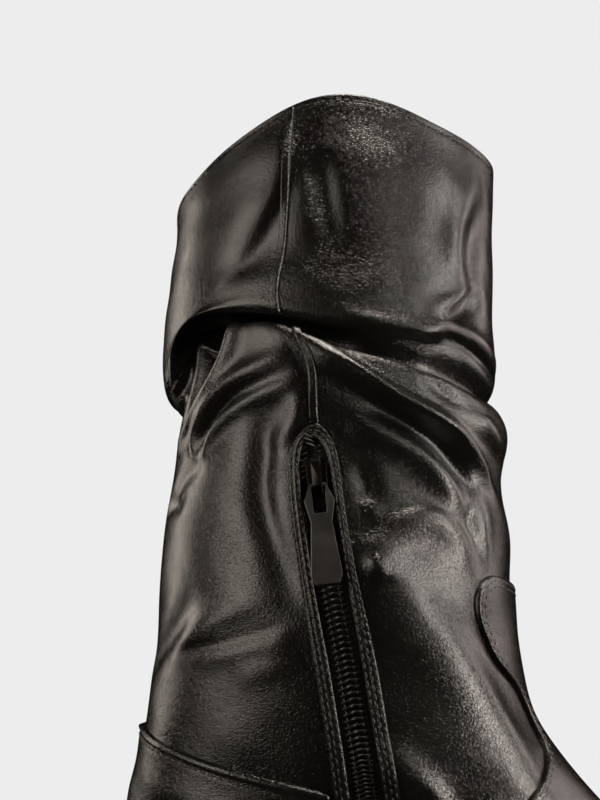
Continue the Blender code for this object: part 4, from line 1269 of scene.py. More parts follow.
@dataclass
class UpperShell:
    """The one hollow upper: outer face, turned rim, lining and a trench for the zip."""

    # mm from the zip's line
    zip_columns: tuple[float, ...] = (
        -12, -11, -10, -9, -8, -7, -6.2, -5.6, -5.2, -4.9, -4.6, -4.3, -4, -3, -2, -1, 0,
        1, 2, 3, 3.6, 4, 4.3, 4.6, 4.9, 5.2, 5.6, 6.2, 7, 8, 9, 10, 11, 12,
    )
    back_columns: int = 76
    front_columns: int = 74
    outer_columns: int = 62
    # the rise from which each step between rows holds
    row_steps: tuple[tuple[float, float], ...] = ((0, 2.0), (112, 1.1), (200, 0.7), (262, 1.15))
    slouch_from: float = 190.0
    lining_steps: tuple[float, float] = (8.0, 2.0)  # below and above the slouch
    trench: float = 3.4
    trench_half: float = 4.7
    trench_foot: float = 48.5
    trench_head: float = 209.5
    lining_bulge: float = 2.7
    lining_margin: float = 3.5  # how far round the trench the lining stands back
    fold_mark: float = 2.0  # below the rim, where the turned edge ends inside
    mark_deep: float = 0.25
    mark_wide: float = 0.55
    rim_stitch: float = 2.5  # below the rim
    stitch: Stitch = Stitch(2.5, 1.7, 0.42)

    def columns(self, form: UpperForm, rise: Array) -> Array:
        """The turn of every column at each rise: true mm by the zip, and even steps elsewhere.

        Args:
            form: the upper.
            rise: mm up it.

        Returns:
            (rises, columns), growing along a row.
        """
        near = np.array(self.zip_columns)
        zip_turn = form.beside(near, rise[:, None])
        share = np.arange(self.back_columns) / self.back_columns
        back = 0.5 + (zip_turn[:, :1] - 0.5) * share
        share = np.arange(1, self.front_columns) / self.front_columns
        front = zip_turn[:, -1:] + (1 - zip_turn[:, -1:]) * share
        share = np.arange(self.outer_columns) / self.outer_columns
        outer = np.broadcast_to(0.5 * share, (len(rise), self.outer_columns))
        return np.concatenate([outer, back, zip_turn, front], 1)

    def in_trench(self, form: UpperForm, turn: Array, rise: Array, margin: float) -> Array:
        """1 inside the zip's trench and 0 outside it, eased over its edges.

        Args:
            form: the upper.
            turn: part of the turn.
            rise: mm up it.
            margin: how far outside the trench's edge the fall starts.

        Returns:
            The share of the trench's depth.
        """
        middle, per_mm = form.line(rise)
        off = np.abs((turn - middle) / per_mm)
        across = ease((self.trench_half + margin - off) / (0.5 + margin))
        low = ease((rise - self.trench_foot + margin) / (1.5 + margin))
        high = ease((self.trench_head + margin - rise) / (1.5 + margin))
        return across * low * high

    def outside_rises(self, foot: float) -> Array:
        """The rises of the outside's rows.

        Args:
            foot: rise of the rim's foot, where they end.

        Returns:
            mm of rise, from the feather edge up.
        """
        ends = [start for start, _ in self.row_steps[1:]] + [foot]
        runs = [spaced(start, end, step)[1:] for (start, step), end in zip(self.row_steps, ends)]
        return np.concatenate([[0], *runs])

    def build(self, form: UpperForm, wardrobe: Wardrobe) -> None:
        """Builds and dresses the shell and the stitches under its rim.

        Its rows run up the outside, over the rim and down the inside. The rim is a half circle, with
        lift = -t/2 + t/2 cos(a) and height t/2 sin(a) above its foot, for wall t.

        Args:
            form: the upper's surface.
            wardrobe: the finishes.
        """
        foot = form.top - WALL / 2
        outside = self.outside_rises(foot)
        angle = np.linspace(0, np.pi, 8)[1:-1]
        rim = foot + WALL / 2 * np.sin(angle)
        low, high = self.lining_steps
        inside = np.concatenate([spaced(foot, self.slouch_from, high), spaced(self.slouch_from, 0, low)[1:]])
        rise = np.concatenate([outside, rim, inside])
        turn = self.columns(form, rise)
        face, lining = slice(0, len(outside)), slice(len(outside) + len(rim), None)
        lift = np.zeros_like(turn)
        lift[face] = -self.trench * self.in_trench(form, turn[face], rise[face, None], 0.0)
        lift[face] -= self.mark_deep * bell(form.top - self.fold_mark - rise[face, None], self.mark_wide)
        lift[face.stop : lining.start] = (-WALL / 2 + WALL / 2 * np.cos(angle))[:, None]
        stood_back = self.in_trench(form, turn[lining], rise[lining, None], self.lining_margin)
        lift[lining] = -WALL - self.lining_bulge * stood_back
        points = form.skin(turn, rise[:, None], lift)
        shell = make_mesh("upper_shell", points, grid_quads(*turn.shape, close_rows=True, close_columns=True))
        wardrobe.dress(shell, LEATHER, BOOT, ["upper"])
        shell.data.materials.append(wardrobe.of(LINING))
        row = np.repeat(np.arange(len(rise)), turn.shape[1])
        shell.data.polygons.foreach_set("material_index", (row >= lining.start).astype(np.int32))
        around = np.linspace(0, 1, 420)
        stitches = sewn_row(form, around, np.full(around.shape, form.top - self.rim_stitch), 0.0, self.stitch)
        wardrobe.dress(joined("rim_stitches", [stitches]), THREAD)


@dataclass
class Vamp:
    """The front panel over the toe and instep, with its tongue up the front of the ankle."""

    band: Band = Band(height=1.4, edge=0.9, sunk=0.3)
    foot: float = 0.8
    waist: float = 108.0  # the rise above which the rows lie closer
    corner_wide: float = 11.3
    corner_high: float = 8.4
    middle_columns: int = 84
    edge_places: tuple[float, ...] = (0, 0.06, 0.16, 0.32, 0.55, 0.8, 1.1, 1.5)  # columns by the edge
    stitch_rows: tuple[float, ...] = (1.5, 3.1)
    stitch_foot: float = 6.0
    stitch: Stitch = Stitch(2.5, 2.0, 0.62)

    def plain_part(self, form: UpperForm, rise: Array) -> Array:
        """Part of the turn from the front to the panel's edge, before the tongue's corners are rounded."""
        knots = [form.row[ring] + above for ring, above, _ in VAMP_LINE]
        return spline(knots, [part for *_, part in VAMP_LINE], np.minimum(rise, knots[-1]))

    def half_width(self, form: UpperForm, rise: Array, inset: float = 0.0) -> Array:
        """Part of the turn from the front to a line inside the edge, with corners as quarter ellipses.

        Args:
            form: the upper.
            rise: mm up it.
            inset: mm inside the edge.

        Returns:
            Parts of the turn.
        """
        corner = self.head(form) - self.corner_high
        climb = np.clip((rise - corner) / (self.corner_high - inset), 0, 1)
        bend = (self.corner_wide - inset) * (1 - np.sqrt(1 - climb**2))
        return self.plain_part(form, rise) - (inset + bend) * form.line(rise)[1]

    def head(self, form: UpperForm) -> float:
        """Rise of the tongue's top edge."""
        ring, above = TONGUE_HEAD
        return form.row[ring] + above

    def build(self, form: UpperForm, wardrobe: Wardrobe) -> None:
        """Builds the panel and its rows of stitches.

        Args:
            form: the upper's surface.
            wardrobe: the finishes.
        """
        head = self.head(form)
        corner = head - self.corner_high
        over = corner + self.corner_high * np.sin(np.linspace(0, np.pi / 2, 16))
        rise = np.concatenate(
            [spaced(self.foot, self.waist, 2.0), spaced(self.waist, corner, 1.0)[1:-1], over]
        )[:, None]
        half, per_mm = self.half_width(form, rise), form.line(rise)[1]
        width = 2 * half / per_mm
        near = self.band.edge * np.array(self.edge_places) * np.ones_like(rise)
        between = np.linspace(0, 1, self.middle_columns)[1:-1]
        middle = near[:, -1:] + (width - 2 * near[:, -1:]) * between
        across = np.concatenate([near, middle, width - near[:, ::-1]], 1)
        inside = np.minimum(np.minimum(across, width - across), head - rise)
        turn = 1 - half + across * per_mm
        panel = layer_mesh("vamp_panel", form, turn, rise, self.band.lift(inside), self.band.sunk)
        wardrobe.dress(panel, LEATHER, BOOT, ["vamp"])
        rows = [self.stitch_line(form, inset) for inset in self.stitch_rows]
        wardrobe.dress(joined("vamp_stitches", rows), THREAD)

    def stitch_line(self, form: UpperForm, inset: float) -> tuple[Array, Faces]:
        """A row of stitches that follows the panel's edge up one side, over the tongue and down the other.

        Args:
            form: the upper's surface.
            inset: mm inside the edge.

        Returns:
            Corners and faces.
        """
        corner = self.head(form) - self.corner_high
        bend = (self.corner_high - inset) * np.sin(np.linspace(0, np.pi / 2, 14))
        up = np.concatenate([spaced(self.stitch_foot, corner, 1.0)[:-1], corner + bend])
        half = self.half_width(form, up, inset)
        over = np.linspace(1 - half[-1], 1 + half[-1], 40)[1:-1]
        turn = np.concatenate([1 - half, over, 1 + half[::-1]])
        rise = np.concatenate([up, np.full(len(over), up[-1]), up[::-1]])
        return sewn_row(form, turn, rise, self.band.height, self.stitch)


@dataclass
class Counter:
    """The heel's panel, from the sole to the ankle, with a thick folded top edge."""

    band: Band = Band(height=1.4, edge=1.0, sunk=0.3)
    foot: float = 0.8
    beside_zip: float = 8.7
    top_back: float = 143.0
    top_front: float = 124.3
    top_round: float = 0.01  # how soon the edge rounds over at the back
    # the folded edge's swell and the furrow sewn under it: height, mm below the edge, width
    swell: tuple[float, float, float] = (0.5, 1.0, 0.6)
    furrow: tuple[float, float, float] = (-0.4, 2.6, 0.4)
    end_shares: tuple[float, ...] = (0, 0.0004, 0.0012, 0.0025, 0.0045, 0.0065, 0.009)  # columns by an end
    stitch_rows: tuple[float, ...] = (1.6, 3.6)
    stitch: Stitch = Stitch(2.5, 2.0, 0.6)

    def top(self, form: UpperForm, share: Array, turn: Array) -> Array:
        """Rise of the top edge, which climbs evenly from both ends to the back and rounds over there.

        Args:
            form: the upper's surface.
            share: 0 at the outer end to 1 at the inner end.
            turn: the turn of each column.

        Returns:
            mm of rise.
        """
        behind = 1 - np.sqrt((2 * share - 1) ** 2 + self.top_round)
        height = self.top_front + (self.top_back - self.top_front) * behind
        return form.rise_at(turn, height)

    def ends(self, form: UpperForm, rise: Array) -> tuple[Array, Array]:
        """The turns of the outer and the inner end at each rise."""
        return form.beside(-self.beside_zip, rise, Side.OUTER), form.beside(-self.beside_zip, rise)

    def build(self, form: UpperForm, wardrobe: Wardrobe) -> None:
        """Builds the panel and its rows of stitches.

        The top edge's rise depends on the turn of each column, and the other way round, so both are worked
        out four times over.

        Args:
            form: the upper's surface.
            wardrobe: the finishes.
        """
        near = np.array(self.end_shares)
        share = np.concatenate([near, np.linspace(0.014, 0.986, 90), 1 - near[::-1]])
        high = np.full(share.shape, 115.0)
        for _ in range(4):
            first, last = self.ends(form, high)
            high = self.top(form, share, first + (last - first) * share)
        top = 1 - 0.07 * np.cos(np.linspace(0, np.pi / 2, 14)[1:])
        climb = np.concatenate([np.linspace(0, 0.93, 50), top])
        rise = self.foot + (high - self.foot) * climb[:, None]
        first, last = self.ends(form, rise)
        turn = first + (last - first) * share
        width = (last - first) / form.line(rise)[1]
        below = high - rise
        lift = self.band.lift(np.minimum(np.minimum(share, 1 - share) * width, below))
        lift += sum(height * bell(below - down, wide) for height, down, wide in (self.swell, self.furrow))
        panel = layer_mesh("counter_panel", form, turn, rise, lift, self.band.sunk)
        wardrobe.dress(panel, LEATHER, BOOT, ["counter"])
        inner = slice(12, -12)
        rows = [
            sewn_row(form, turn[-1, inner], high[inner] - inset, self.band.height, self.stitch)
            for inset in self.stitch_rows
        ]
        wardrobe.dress(joined("counter_stitches", rows), THREAD)


@dataclass
class SeamStrip:
    """A narrow raised strip along a side seam, with a row of stitches near each edge."""

    name: str
    node: str
    side: Side
    low: float
    high: float
    half: float = 1.35
    band: Band = Band(height=1.15, edge=0.55, sunk=0.4)
    edge_places: tuple[float, ...] = (0, 0.1, 0.3, 0.6, 1.0, 1.6)  # columns by the edge
    stitch_share: float = 0.62  # of the half width
    stitch: Stitch = Stitch(2.3, 1.7, 0.42)

    def build(self, form: UpperForm, wardrobe: Wardrobe) -> None:
        """Builds the strip and its stitches.

        Args:
            form: the upper's surface.
            wardrobe: the finishes.
        """
        rise = spaced(self.low, self.high, 0.8)[:, None]
        behind = self.band.edge * np.array(self.edge_places) - self.half
        across = np.concatenate([behind, [0], -behind[::-1]])
        turn = np.sort(form.beside(across, rise, self.side), axis=1)
        inside = np.minimum(self.half - np.abs(across), np.minimum(rise - self.low, self.high - rise))
        strip = layer_mesh(self.name, form, turn, rise, self.band.lift(inside), self.band.sunk)
        wardrobe.dress(strip, LEATHER, BOOT, [self.node])
        line = spaced(self.low + 1, self.high - 1, 1.0)
        places = [form.beside(way * self.stitch_share * self.half, line, self.side) for way in (-1, 1)]
        rows = [sewn_row(form, place, line, self.band.height * 0.93, self.stitch) for place in places]
        wardrobe.dress(joined(self.name + "_stitches", rows), THREAD)


@dataclass
class ZipFacing:
    """The folded strip stitched down round the zip's opening, with a pointed head where the seam comes in."""

    # inner edge (mm ahead, rise) and outer edge of the same place, from the foot's middle up the back side
    edges: tuple[tuple[float, float, float, float], ...] = (
        (0, 51.5, 0, 46), (-3.6, 51.5, -7.6, 46.5), (-3.8, 60, -8, 60), (-3.8, 150, -8, 150),
        (-4.5, 172, -8.2, 172), (-4.6, 192, -8.4, 192), (-4.2, 203, -7.6, 202),
        (-3, 206.5, -6.2, 207.5), (-0.6, 208.2, 0.6, 213.5), (1.6, 206.5, 5.2, 208),
        (2.9, 203, 6.2, 202), (3.2, 192, 6.2, 192), (3.2, 172, 6.4, 172), (3.6, 150, 7.8, 150),
        (3.8, 60, 8, 60), (3.6, 51.5, 7.6, 46.5),
    )
    counts: tuple[int, ...] = (6, 14, 90, 24, 20, 12, 6, 8, 8, 6, 12, 20, 24, 90, 14, 6)  # steps to the next
    band: Band = Band(height=1.45, edge=0.8, sunk=0.3)
    turned_in: float = 1.6  # how deep the inner edge turns into the slot
    turn_wide: float = 0.5  # over this width
    stitch_rows: tuple[float, ...] = (0.85, 2.2, 3.3)  # from the inner edge; the last one has open ends
    open_ended: float = 3.0  # rows farther out than this leave out the foot's middle
    thread_deep: float = 0.22  # how far a row pulls the leather in
    thread_wide: float = 0.28
    stitch: Stitch = Stitch(2.2, 1.75, 0.5)
    # the bar tack at the head: first stitch's two ends (mm ahead, rise), and the step to the next one
    tack_ends: tuple[tuple[float, float], ...] = ((-3.4, 209.4), (-0.2, 207.8))
    tack_step: tuple[float, float] = (0.4, -1.3)
    tack_stitch: Stitch = Stitch(3.6, 3.3, 0.7)

    def loops(self) -> tuple[Array, Array]:
        """The inner and the outer edge as soft closed lines with as many points as each other."""
        edges = np.array(self.edges, float)
        return rounded(edges[:, :2], self.counts, 2, True), rounded(edges[:, 2:], self.counts, 2, True)

    def build(self, form: UpperForm, wardrobe: Wardrobe) -> None:
        """Builds the strip round the opening, its stitches and the bar tack at its head.

        Args:
            form: the upper's surface.
            wardrobe: the finishes.
        """
        inner, outer = self.loops()
        across = outer - inner
        width = np.linalg.norm(across, axis=1)[:, None]
        near, far = [0, 0.02, 0.06, 0.12, 0.2], [0.84, 0.9, 0.95, 0.985, 1]
        share = np.concatenate([near, np.linspace(0.28, 0.76, 9), far])[::-1]
        from_inner, from_outer = share * width, (1 - share) * width
        fall = np.clip(1 - from_inner / self.turn_wide, 0, 1)
        lift = self.band.lift(np.minimum(from_inner, from_outer))
        lift -= (self.turned_in - self.band.sunk) * fall**2
        for row in self.stitch_rows:
            lift -= self.thread_deep * bell(from_inner - row, self.thread_wide)
        place = inner[:, None] + across[:, None] * share[:, None]
        under = place[:, 1:-1:4][:, ::-1]
        deep = -self.band.sunk - (self.turned_in - self.band.sunk) * np.linspace(1, 0, under.shape[1]) ** 2
        ahead, rise = np.concatenate([place, under], 1).transpose(2, 0, 1)
        lift = np.concatenate([lift, np.broadcast_to(deep, under.shape[:2])], 1)
        points = form.skin(form.beside(ahead, rise), rise, lift)
        quads = grid_quads(*rise.shape, close_rows=True, close_columns=True)
        strip = make_mesh("zip_facing_strip", points, quads)
        wardrobe.dress(strip, LEATHER, BOOT, ["zip_facing"])
        rows = []
        for inset in self.stitch_rows:
            line = inner + across / width * np.minimum(inset, width - 0.5)
            ends = [line[10:], line[:4]] if inset > self.open_ended else [line, line[:1]]
            ahead, rise = np.concatenate(ends).T
            rows.append(sewn_row(form, form.beside(ahead, rise), rise, self.band.height - 0.08, self.stitch))
        for number in range(3):
            ahead, rise = np.linspace(*self.tack_ends, 6).T + number * np.reshape(self.tack_step, (2, 1))
            rows.append(sewn_row(form, form.beside(ahead, rise), rise, self.band.height, self.tack_stitch))
        wardrobe.dress(joined("zip_facing_stitches", rows), THREAD)


@dataclass
class Zip:
    """The coil zip: woven tapes, the closed coils below the slider and the open ones above it."""

    foot: float = 53.0
    slider_rise: float = 192.0
    slider_below: float = 4.0  # the closed coils end this far below it
    slider_above: float = 5.5  # and the open ones begin this far above it
    head: float = 207.5
    pitch: float = 1.5
    wire: float = 0.33
    coil_middle: float = 1.42
    coil_half: float = 1.5
    coil_depth: float = 0.55
    coil_lift: float = -1.05
    coil_slant: float = 0.22  # pitches by which a turn leans
    # the open strands: side and mm of each from the zip's line, half their width, how much higher they lie
    open_middles: tuple[tuple[str, int, float], ...] = (("front", 1, 2.5), ("back", -1, 2.9))
    open_half: float = 1.15
    open_above: float = 0.7
    steps_per_turn: int = 12
    tape_lift: float = -1.75
    tape_half: float = 4.4
    tape_overlap: float = 0.15
    tape_step: float = 0.12  # how much deeper the back tape lies
    sewing_off: float = 1.9

    def swing(self, rise: Array) -> Array:
        """How far the zip's own middle lies ahead of the drawn line: it leans back 0.7 mm at the top."""
        return -0.7 * ease((rise - 150) / 25)

    def coil(
        self, form: UpperForm, low: float, high: float, side: int, middle: float, half: float,
        above: float = 0.0,
    ) -> tuple[Array, Faces]:
        """One flattened helix of wire.

        At angle t it lies at middle + side * half * cos(t), at coil_lift + coil_depth * sin(t), and at a rise
        that grows by one pitch a turn.

        Args:
            form: the upper's surface.
            low: first rise.
            high: last rise.
            side: 1 ahead of the zip's line, -1 behind it.
            middle: mm of the helix's own line from the zip's.
            half: half its width.
            above: how much higher it lies.

        Returns:
            Corners and faces.
        """
        turns = (high - low) / self.pitch
        angle = np.linspace(0, 2 * np.pi * turns, int(turns * self.steps_per_turn))
        shift = 0.5 if side > 0 else 0
        rise = low + self.pitch * (angle / (2 * np.pi) + self.coil_slant * side * np.cos(angle) + shift)
        ahead = self.swing(rise) + side * (middle + half * np.cos(angle))
        lift = self.coil_lift + above + self.coil_depth * np.sin(angle)
        turn = form.beside(ahead, rise)
        path = form.skin(turn, rise, lift)
        return sweep(path, form.outward(turn, rise) + 0.01, self.wire)

    def build(self, form: UpperForm, wardrobe: Wardrobe) -> None:
        """Builds tapes, coils and their sewing.

        Args:
            form: the upper's surface.
            wardrobe: the finishes.
        """
        rise = spaced(self.foot - 3, self.head + 1, 2.0)[:, None]
        over = self.tape_overlap
        for name, low, high, step in (
            ("front", -over, self.tape_half, 0.0), ("back", -self.tape_half, over, self.tape_step)
        ):
            turn = form.beside(np.linspace(low, high, 7) + self.swing(rise), rise)
            lift = np.full(turn.shape, self.tape_lift - step)
            tape = layer_mesh(f"zip_{name}_tape", form, turn, rise, lift, -self.tape_lift + 0.5)
            wardrobe.dress(tape, TAPE, BOOT, [f"zip_tape_{name}"])
        low, high = self.foot, self.slider_rise - self.slider_below
        closed = [self.coil(form, low, high, side, self.coil_middle, self.coil_half) for side in (1, -1)]
        wardrobe.dress(joined("zip_closed_coils", closed), NYLON, BOOT, ["zip_chain"])
        low, high = self.slider_rise + self.slider_above, self.head
        for name, side, middle in self.open_middles:
            strand = self.coil(form, low, high, side, middle, self.open_half, self.open_above)
            wardrobe.dress(joined(f"zip_open_coil_{name}", [strand]), NYLON, BOOT, [f"zip_strand_{name}"])
        rise = spaced(self.foot + 1, self.slider_rise - 5, 1.0)
        turns = [form.beside(self.swing(rise) + side * self.sewing_off, rise) for side in (1, -1)]
        on_coils = self.coil_lift + self.coil_depth + 0.3
        stitch = Stitch(self.pitch, 1.15, 0.42)
        sewing = [sewn_row(form, turn, rise, on_coils, stitch) for turn in turns]
        wardrobe.dress(joined("zip_sewing", sewing), THREAD)


@dataclass
class SliderAndTab:
    """The cast slider and its pull tab: the solids' own forms with their edges broken."""

    edge: float = 0.28  # mm, as tumbling leaves them
    sharp: float = 28.0  # degrees from which an edge is rounded

    def soften(self, name: str, node: str) -> Piece:
        """A merged copy of a solid with its sharp edges rounded.

        Args:
            name: the new piece's name.
            node: the solid.

        Returns:
            The piece.
        """
        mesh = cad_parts[node].data.copy()
        mesh.materials.clear()
        obj = bpy.data.objects.new(name, mesh)
        bpy.context.scene.collection.objects.link(obj)
        weld = obj.modifiers.new("weld", "WELD")
        weld.merge_threshold = 1e-6
        bevel = obj.modifiers.new("edges", "BEVEL")
        bevel.width = self.edge * MM
        bevel.segments = 3
        bevel.limit_method = "ANGLE"
        bevel.angle_limit = math.radians(self.sharp)
        bevel.use_clamp_overlap = True
        bpy.context.view_layer.update()
        evaluated = obj.evaluated_get(bpy.context.evaluated_depsgraph_get())
        final = bpy.data.meshes.new_from_object(evaluated)
        obj.modifiers.clear()
        obj.data = final
        return obj

    def build(self, wardrobe: Wardrobe) -> None:
        """Builds and dresses both.

        Args:
            wardrobe: the finishes.
        """
        wardrobe.dress(self.soften("zip_slider", "slider"), BLACK_NICKEL, BOOT, ["slider"])
        wardrobe.dress(self.soften("pull_tab_plate", "pull_tab"), GUNMETAL, TAB, ["pull_tab"])


# ---- the bottom


def slab(name: str, levels: Sequence[Array], across: Array) -> Piece:
    """A closed solid through level outlines, its two faces spanned across.

    An outline runs from one end, along the outer side, to the other end and back along the inner side. A
    face's corner is outer * (1 - s) + inner * s at share s, with its height taken from both the same way.

    Args:
        name: the piece's name.
        levels: outlines (2, stations, 3) from bottom to top: outer and inner side, sharing their first and
            last station.
        across: shares from 0 to 1 across a face.

    Returns:
        The object.
    """
    stations = levels[0].shape[1]
    ring = [np.concatenate([level[0], level[1][-2:0:-1]]) for level in levels]
    count = 2 * stations - 2
    quads = grid_quads(len(levels), count, close_columns=True)[:, ::-1]
    points = np.concatenate(ring)
    along = np.arange(1, stations - 1)
    faces = [quads]
    for level, first, flip in ((levels[0], 0, False), (levels[-1], (len(levels) - 1) * count, True)):
        share = across[1:-1, None, None]
        inner_points = level[0][None, 1:-1] * (1 - share) + level[1][None, 1:-1] * share
        start = len(points)
        points = np.concatenate([points, inner_points.reshape(-1, 3)])
        table = np.empty((len(across), stations), np.int64)
        table[0] = first + np.arange(stations)
        table[-1] = first + (count - np.arange(stations)) % count
        table[1:-1, 1:-1] = start + np.arange(inner_points.shape[0] * len(along)).reshape(-1, len(along))
        table[1:-1, 0], table[1:-1, -1] = table[0, 0], table[0, -1]
        patch = np.stack([table[:-1, :-1], table[:-1, 1:], table[1:, 1:], table[1:, :-1]], -1).reshape(-1, 4)
        faces.append(patch[:, ::-1] if flip else patch)
    return make_mesh(name, points, np.concatenate(faces))


@dataclass
class Sole:
    """The outsole with its welt, the insole, the heel block and the lift under it."""

    welt_fore: float = 3.4
    welt_heel: float = 2.4
    stations: int = 90
    corner_above: float = 0.6  # radius of the outsole's upper corner; the lower one's is 1 mm
    insole_thick: float = 2.6
    insole_in: float = WALL + 1.5
    lift_thick: float = 6.0
    gap: float = 0.3
    heel_corner: float = 1.2
    # share of the heel's height, x of its back and of its breast, half width
    heel_levels: tuple[tuple[float, float, float, float], ...] = (
        (0, -24.6, 19.2, 24.2),
        (0.38, -26.2, 19.4, 24.8),
        (0.72, -28.4, 20.6, 26.6),
        (1, -29.6, 22.5, 28.4),
    )

    def parts(self) -> Array:
        """Part of the turn at each station, from the toe to the heel, closer together at both."""
        return 0.5 * (0.5 - 0.5 * np.cos(np.linspace(0, np.pi, self.stations)))

    def outline(self, form: UpperForm, outset: Array | float) -> Array:
        """The feather edge's outline moved outwards, from the toe along either side to the heel.

        Args:
            form: the upper's surface.
            outset: mm outwards, one number or one for each station.

        Returns:
            (2, stations, 2): outer and inner side.
        """
        sides = []
        part = self.parts()
        for way in (1, -1):
            edge = form.at(way * part, 0.0)[:, :2]
            ahead = (form.at(way * part + 0.002, 0.0) - form.at(way * part - 0.002, 0.0))[:, :2]
            normal = np.stack([ahead[:, 1], -ahead[:, 0]], 1) / np.linalg.norm(ahead, axis=1, keepdims=True)
            sides.append(edge + normal * np.reshape(outset, (-1, 1)))
        return np.array(sides)

    def welt(self) -> Array:
        """How far the sole stands out from the feather edge at each station."""
        return self.welt_heel + (self.welt_fore - self.welt_heel) * ease((0.36 - self.parts()) / 0.12)

    def raised(self, flat: Array, height: Callable[[Array], Array]) -> Array:
        """Outlines given their height, worked out from x."""
        return np.concatenate([flat, height(flat[..., :1])], axis=-1)

    def build(self, form: UpperForm, wardrobe: Wardrobe) -> None:
        """Builds the bottom's four pieces.

        The outsole's edge is a flat band with its two corners rounded: inset r (1 - sin a) and height
        r (1 - cos a).

        Args:
            form: the upper's surface.
            wardrobe: the finishes.
        """
        welt = self.welt()
        corner = np.linspace(0, np.pi / 2, 6)
        top = self.corner_above
        inset = np.concatenate([1 - np.sin(corner), top * (1 - np.cos(corner))])
        rise = np.concatenate([1 - np.cos(corner), SOLE_THICK - top + top * np.sin(corner)])
        levels = [
            self.raised(self.outline(form, welt - back), lambda x, up=up: sole_under(x) + up)
            for back, up in zip(inset, rise)
        ]
        outsole = slab("outsole_welted", levels, np.linspace(0, 1, 14))
        wardrobe.dress(outsole, RUBBER, BOOT, ["outsole"])
        base, within = SOLE_THICK + 2 * self.gap, -self.insole_in
        levels = [
            self.raised(self.outline(form, within - back), lambda x, up=up: sole_under(x) + base + up)
            for back, up in ((0, 0), (0, 1.6), (0.3, 2.3), (0.9, self.insole_thick))
        ]
        insole = slab("insole_covered", levels, np.linspace(0, 1, 8))
        wardrobe.dress(insole, LINING, BOOT, ["insole"])
        heel, lift = self.heel()
        wardrobe.dress(heel, STACKED, BOOT, ["heel"])
        wardrobe.dress(lift, RUBBER, BOOT, ["heel_lift"])

    def heel_outline(self, back: float, breast: float, half: float) -> Array:
        """One level of the heel: round behind, nearly straight sides and a flat breast with small corners.

        Args:
            back: x of its back.
            breast: x of its breast.
            half: half its width.

        Returns:
            (2, stations, 2): outer and inner side, from the breast's middle to the back's middle.
        """
        centre, corner = back + half, self.heel_corner
        angle = np.linspace(np.pi / 2, np.pi, 22)
        arc = np.stack([centre + half * np.cos(angle), half * np.sin(angle)], 1)
        fore_half = 0.95 * half
        side = np.stack([np.linspace(breast - corner, centre, 8), np.linspace(fore_half, half, 8)], 1)[:-1]
        bend = np.linspace(0, np.pi / 2, 6)[:-1]
        turn = np.stack([breast - corner * (1 - np.cos(bend)), fore_half - corner * (1 - np.sin(bend))], 1)
        front = np.stack([np.full(7, breast), np.linspace(0, fore_half - corner, 8)[:-1]], 1)
        outer = np.concatenate([front, turn, side, arc])
        return np.array([outer, outer * (1, -1)])

    def heel(self) -> tuple[Piece, Piece]:
        """The heel block, whose levels follow smooth curves up it, and the rubber lift under it.

        Returns:
            The block and the lift.
        """
        foot = self.lift_thick + self.gap
        table = np.array(self.heel_levels)
        levels = []
        for share in np.linspace(0, 1, 13):
            back, breast, half = spline(table[:, 0], table[:, 1:], np.array([share]))[0]
            flat = self.heel_outline(back, breast, half)
            levels.append(self.raised(flat, lambda x, p=share: foot + (sole_under(x) - self.gap - foot) * p))
        block = slab("heel_block", [level[:, ::-1] for level in levels], np.linspace(0, 1, 9))
        _, back, breast, half = self.heel_levels[0]
        levels = []
        edge = (0.8, 0.0), (0.35, 0.25), (0.1, 0.7), (0.0, 1.2)
        for draw, up in (*edge, (0.0, self.lift_thick - 0.3), (0.3, self.lift_thick)):
            flat = self.heel_outline(back + draw, breast - draw, half - draw)
            levels.append(self.raised(flat, lambda x, z=up: 0 * x + z))
        lift = slab("heel_top_piece", [level[:, ::-1] for level in levels], np.linspace(0, 1, 9))
        return block, lift


# ---- the studio


@dataclass(frozen=True)
class Softbox:
    """A rectangular soft light that looks at a place on the boot."""

    name: str
    azimuth: float  # degrees from -Y towards +X, seen from the boot
    elevation: float
    distance: float
    wide: float
    high: float
    watts: float
    colour: str = "ffffff"
    aim: tuple[float, float, float] = (0.03, -0.04, 0.21)

    def build(self) -> None:
        """Makes the light: it stands at aim + distance * (cos e sin a, -cos e cos a, sin e)."""
        light = bpy.data.lights.new(self.name, "AREA")
        light.shape = "RECTANGLE"
        light.size, light.size_y = self.wide, self.high
        light.energy = self.watts
        light.color = linear(self.colour)[:3]
        obj = bpy.data.objects.new(self.name, light)
        bpy.context.scene.collection.objects.link(obj)
        azimuth, elevation = math.radians(self.azimuth), math.radians(self.elevation)
        level = math.cos(elevation)
        away = np.array([level * math.sin(azimuth), -level * math.cos(azimuth), math.sin(elevation)])
        obj.location = np.array(self.aim) + self.distance * away
        obj.rotation_euler = (math.radians(90 - self.elevation), 0, math.radians(self.azimuth))


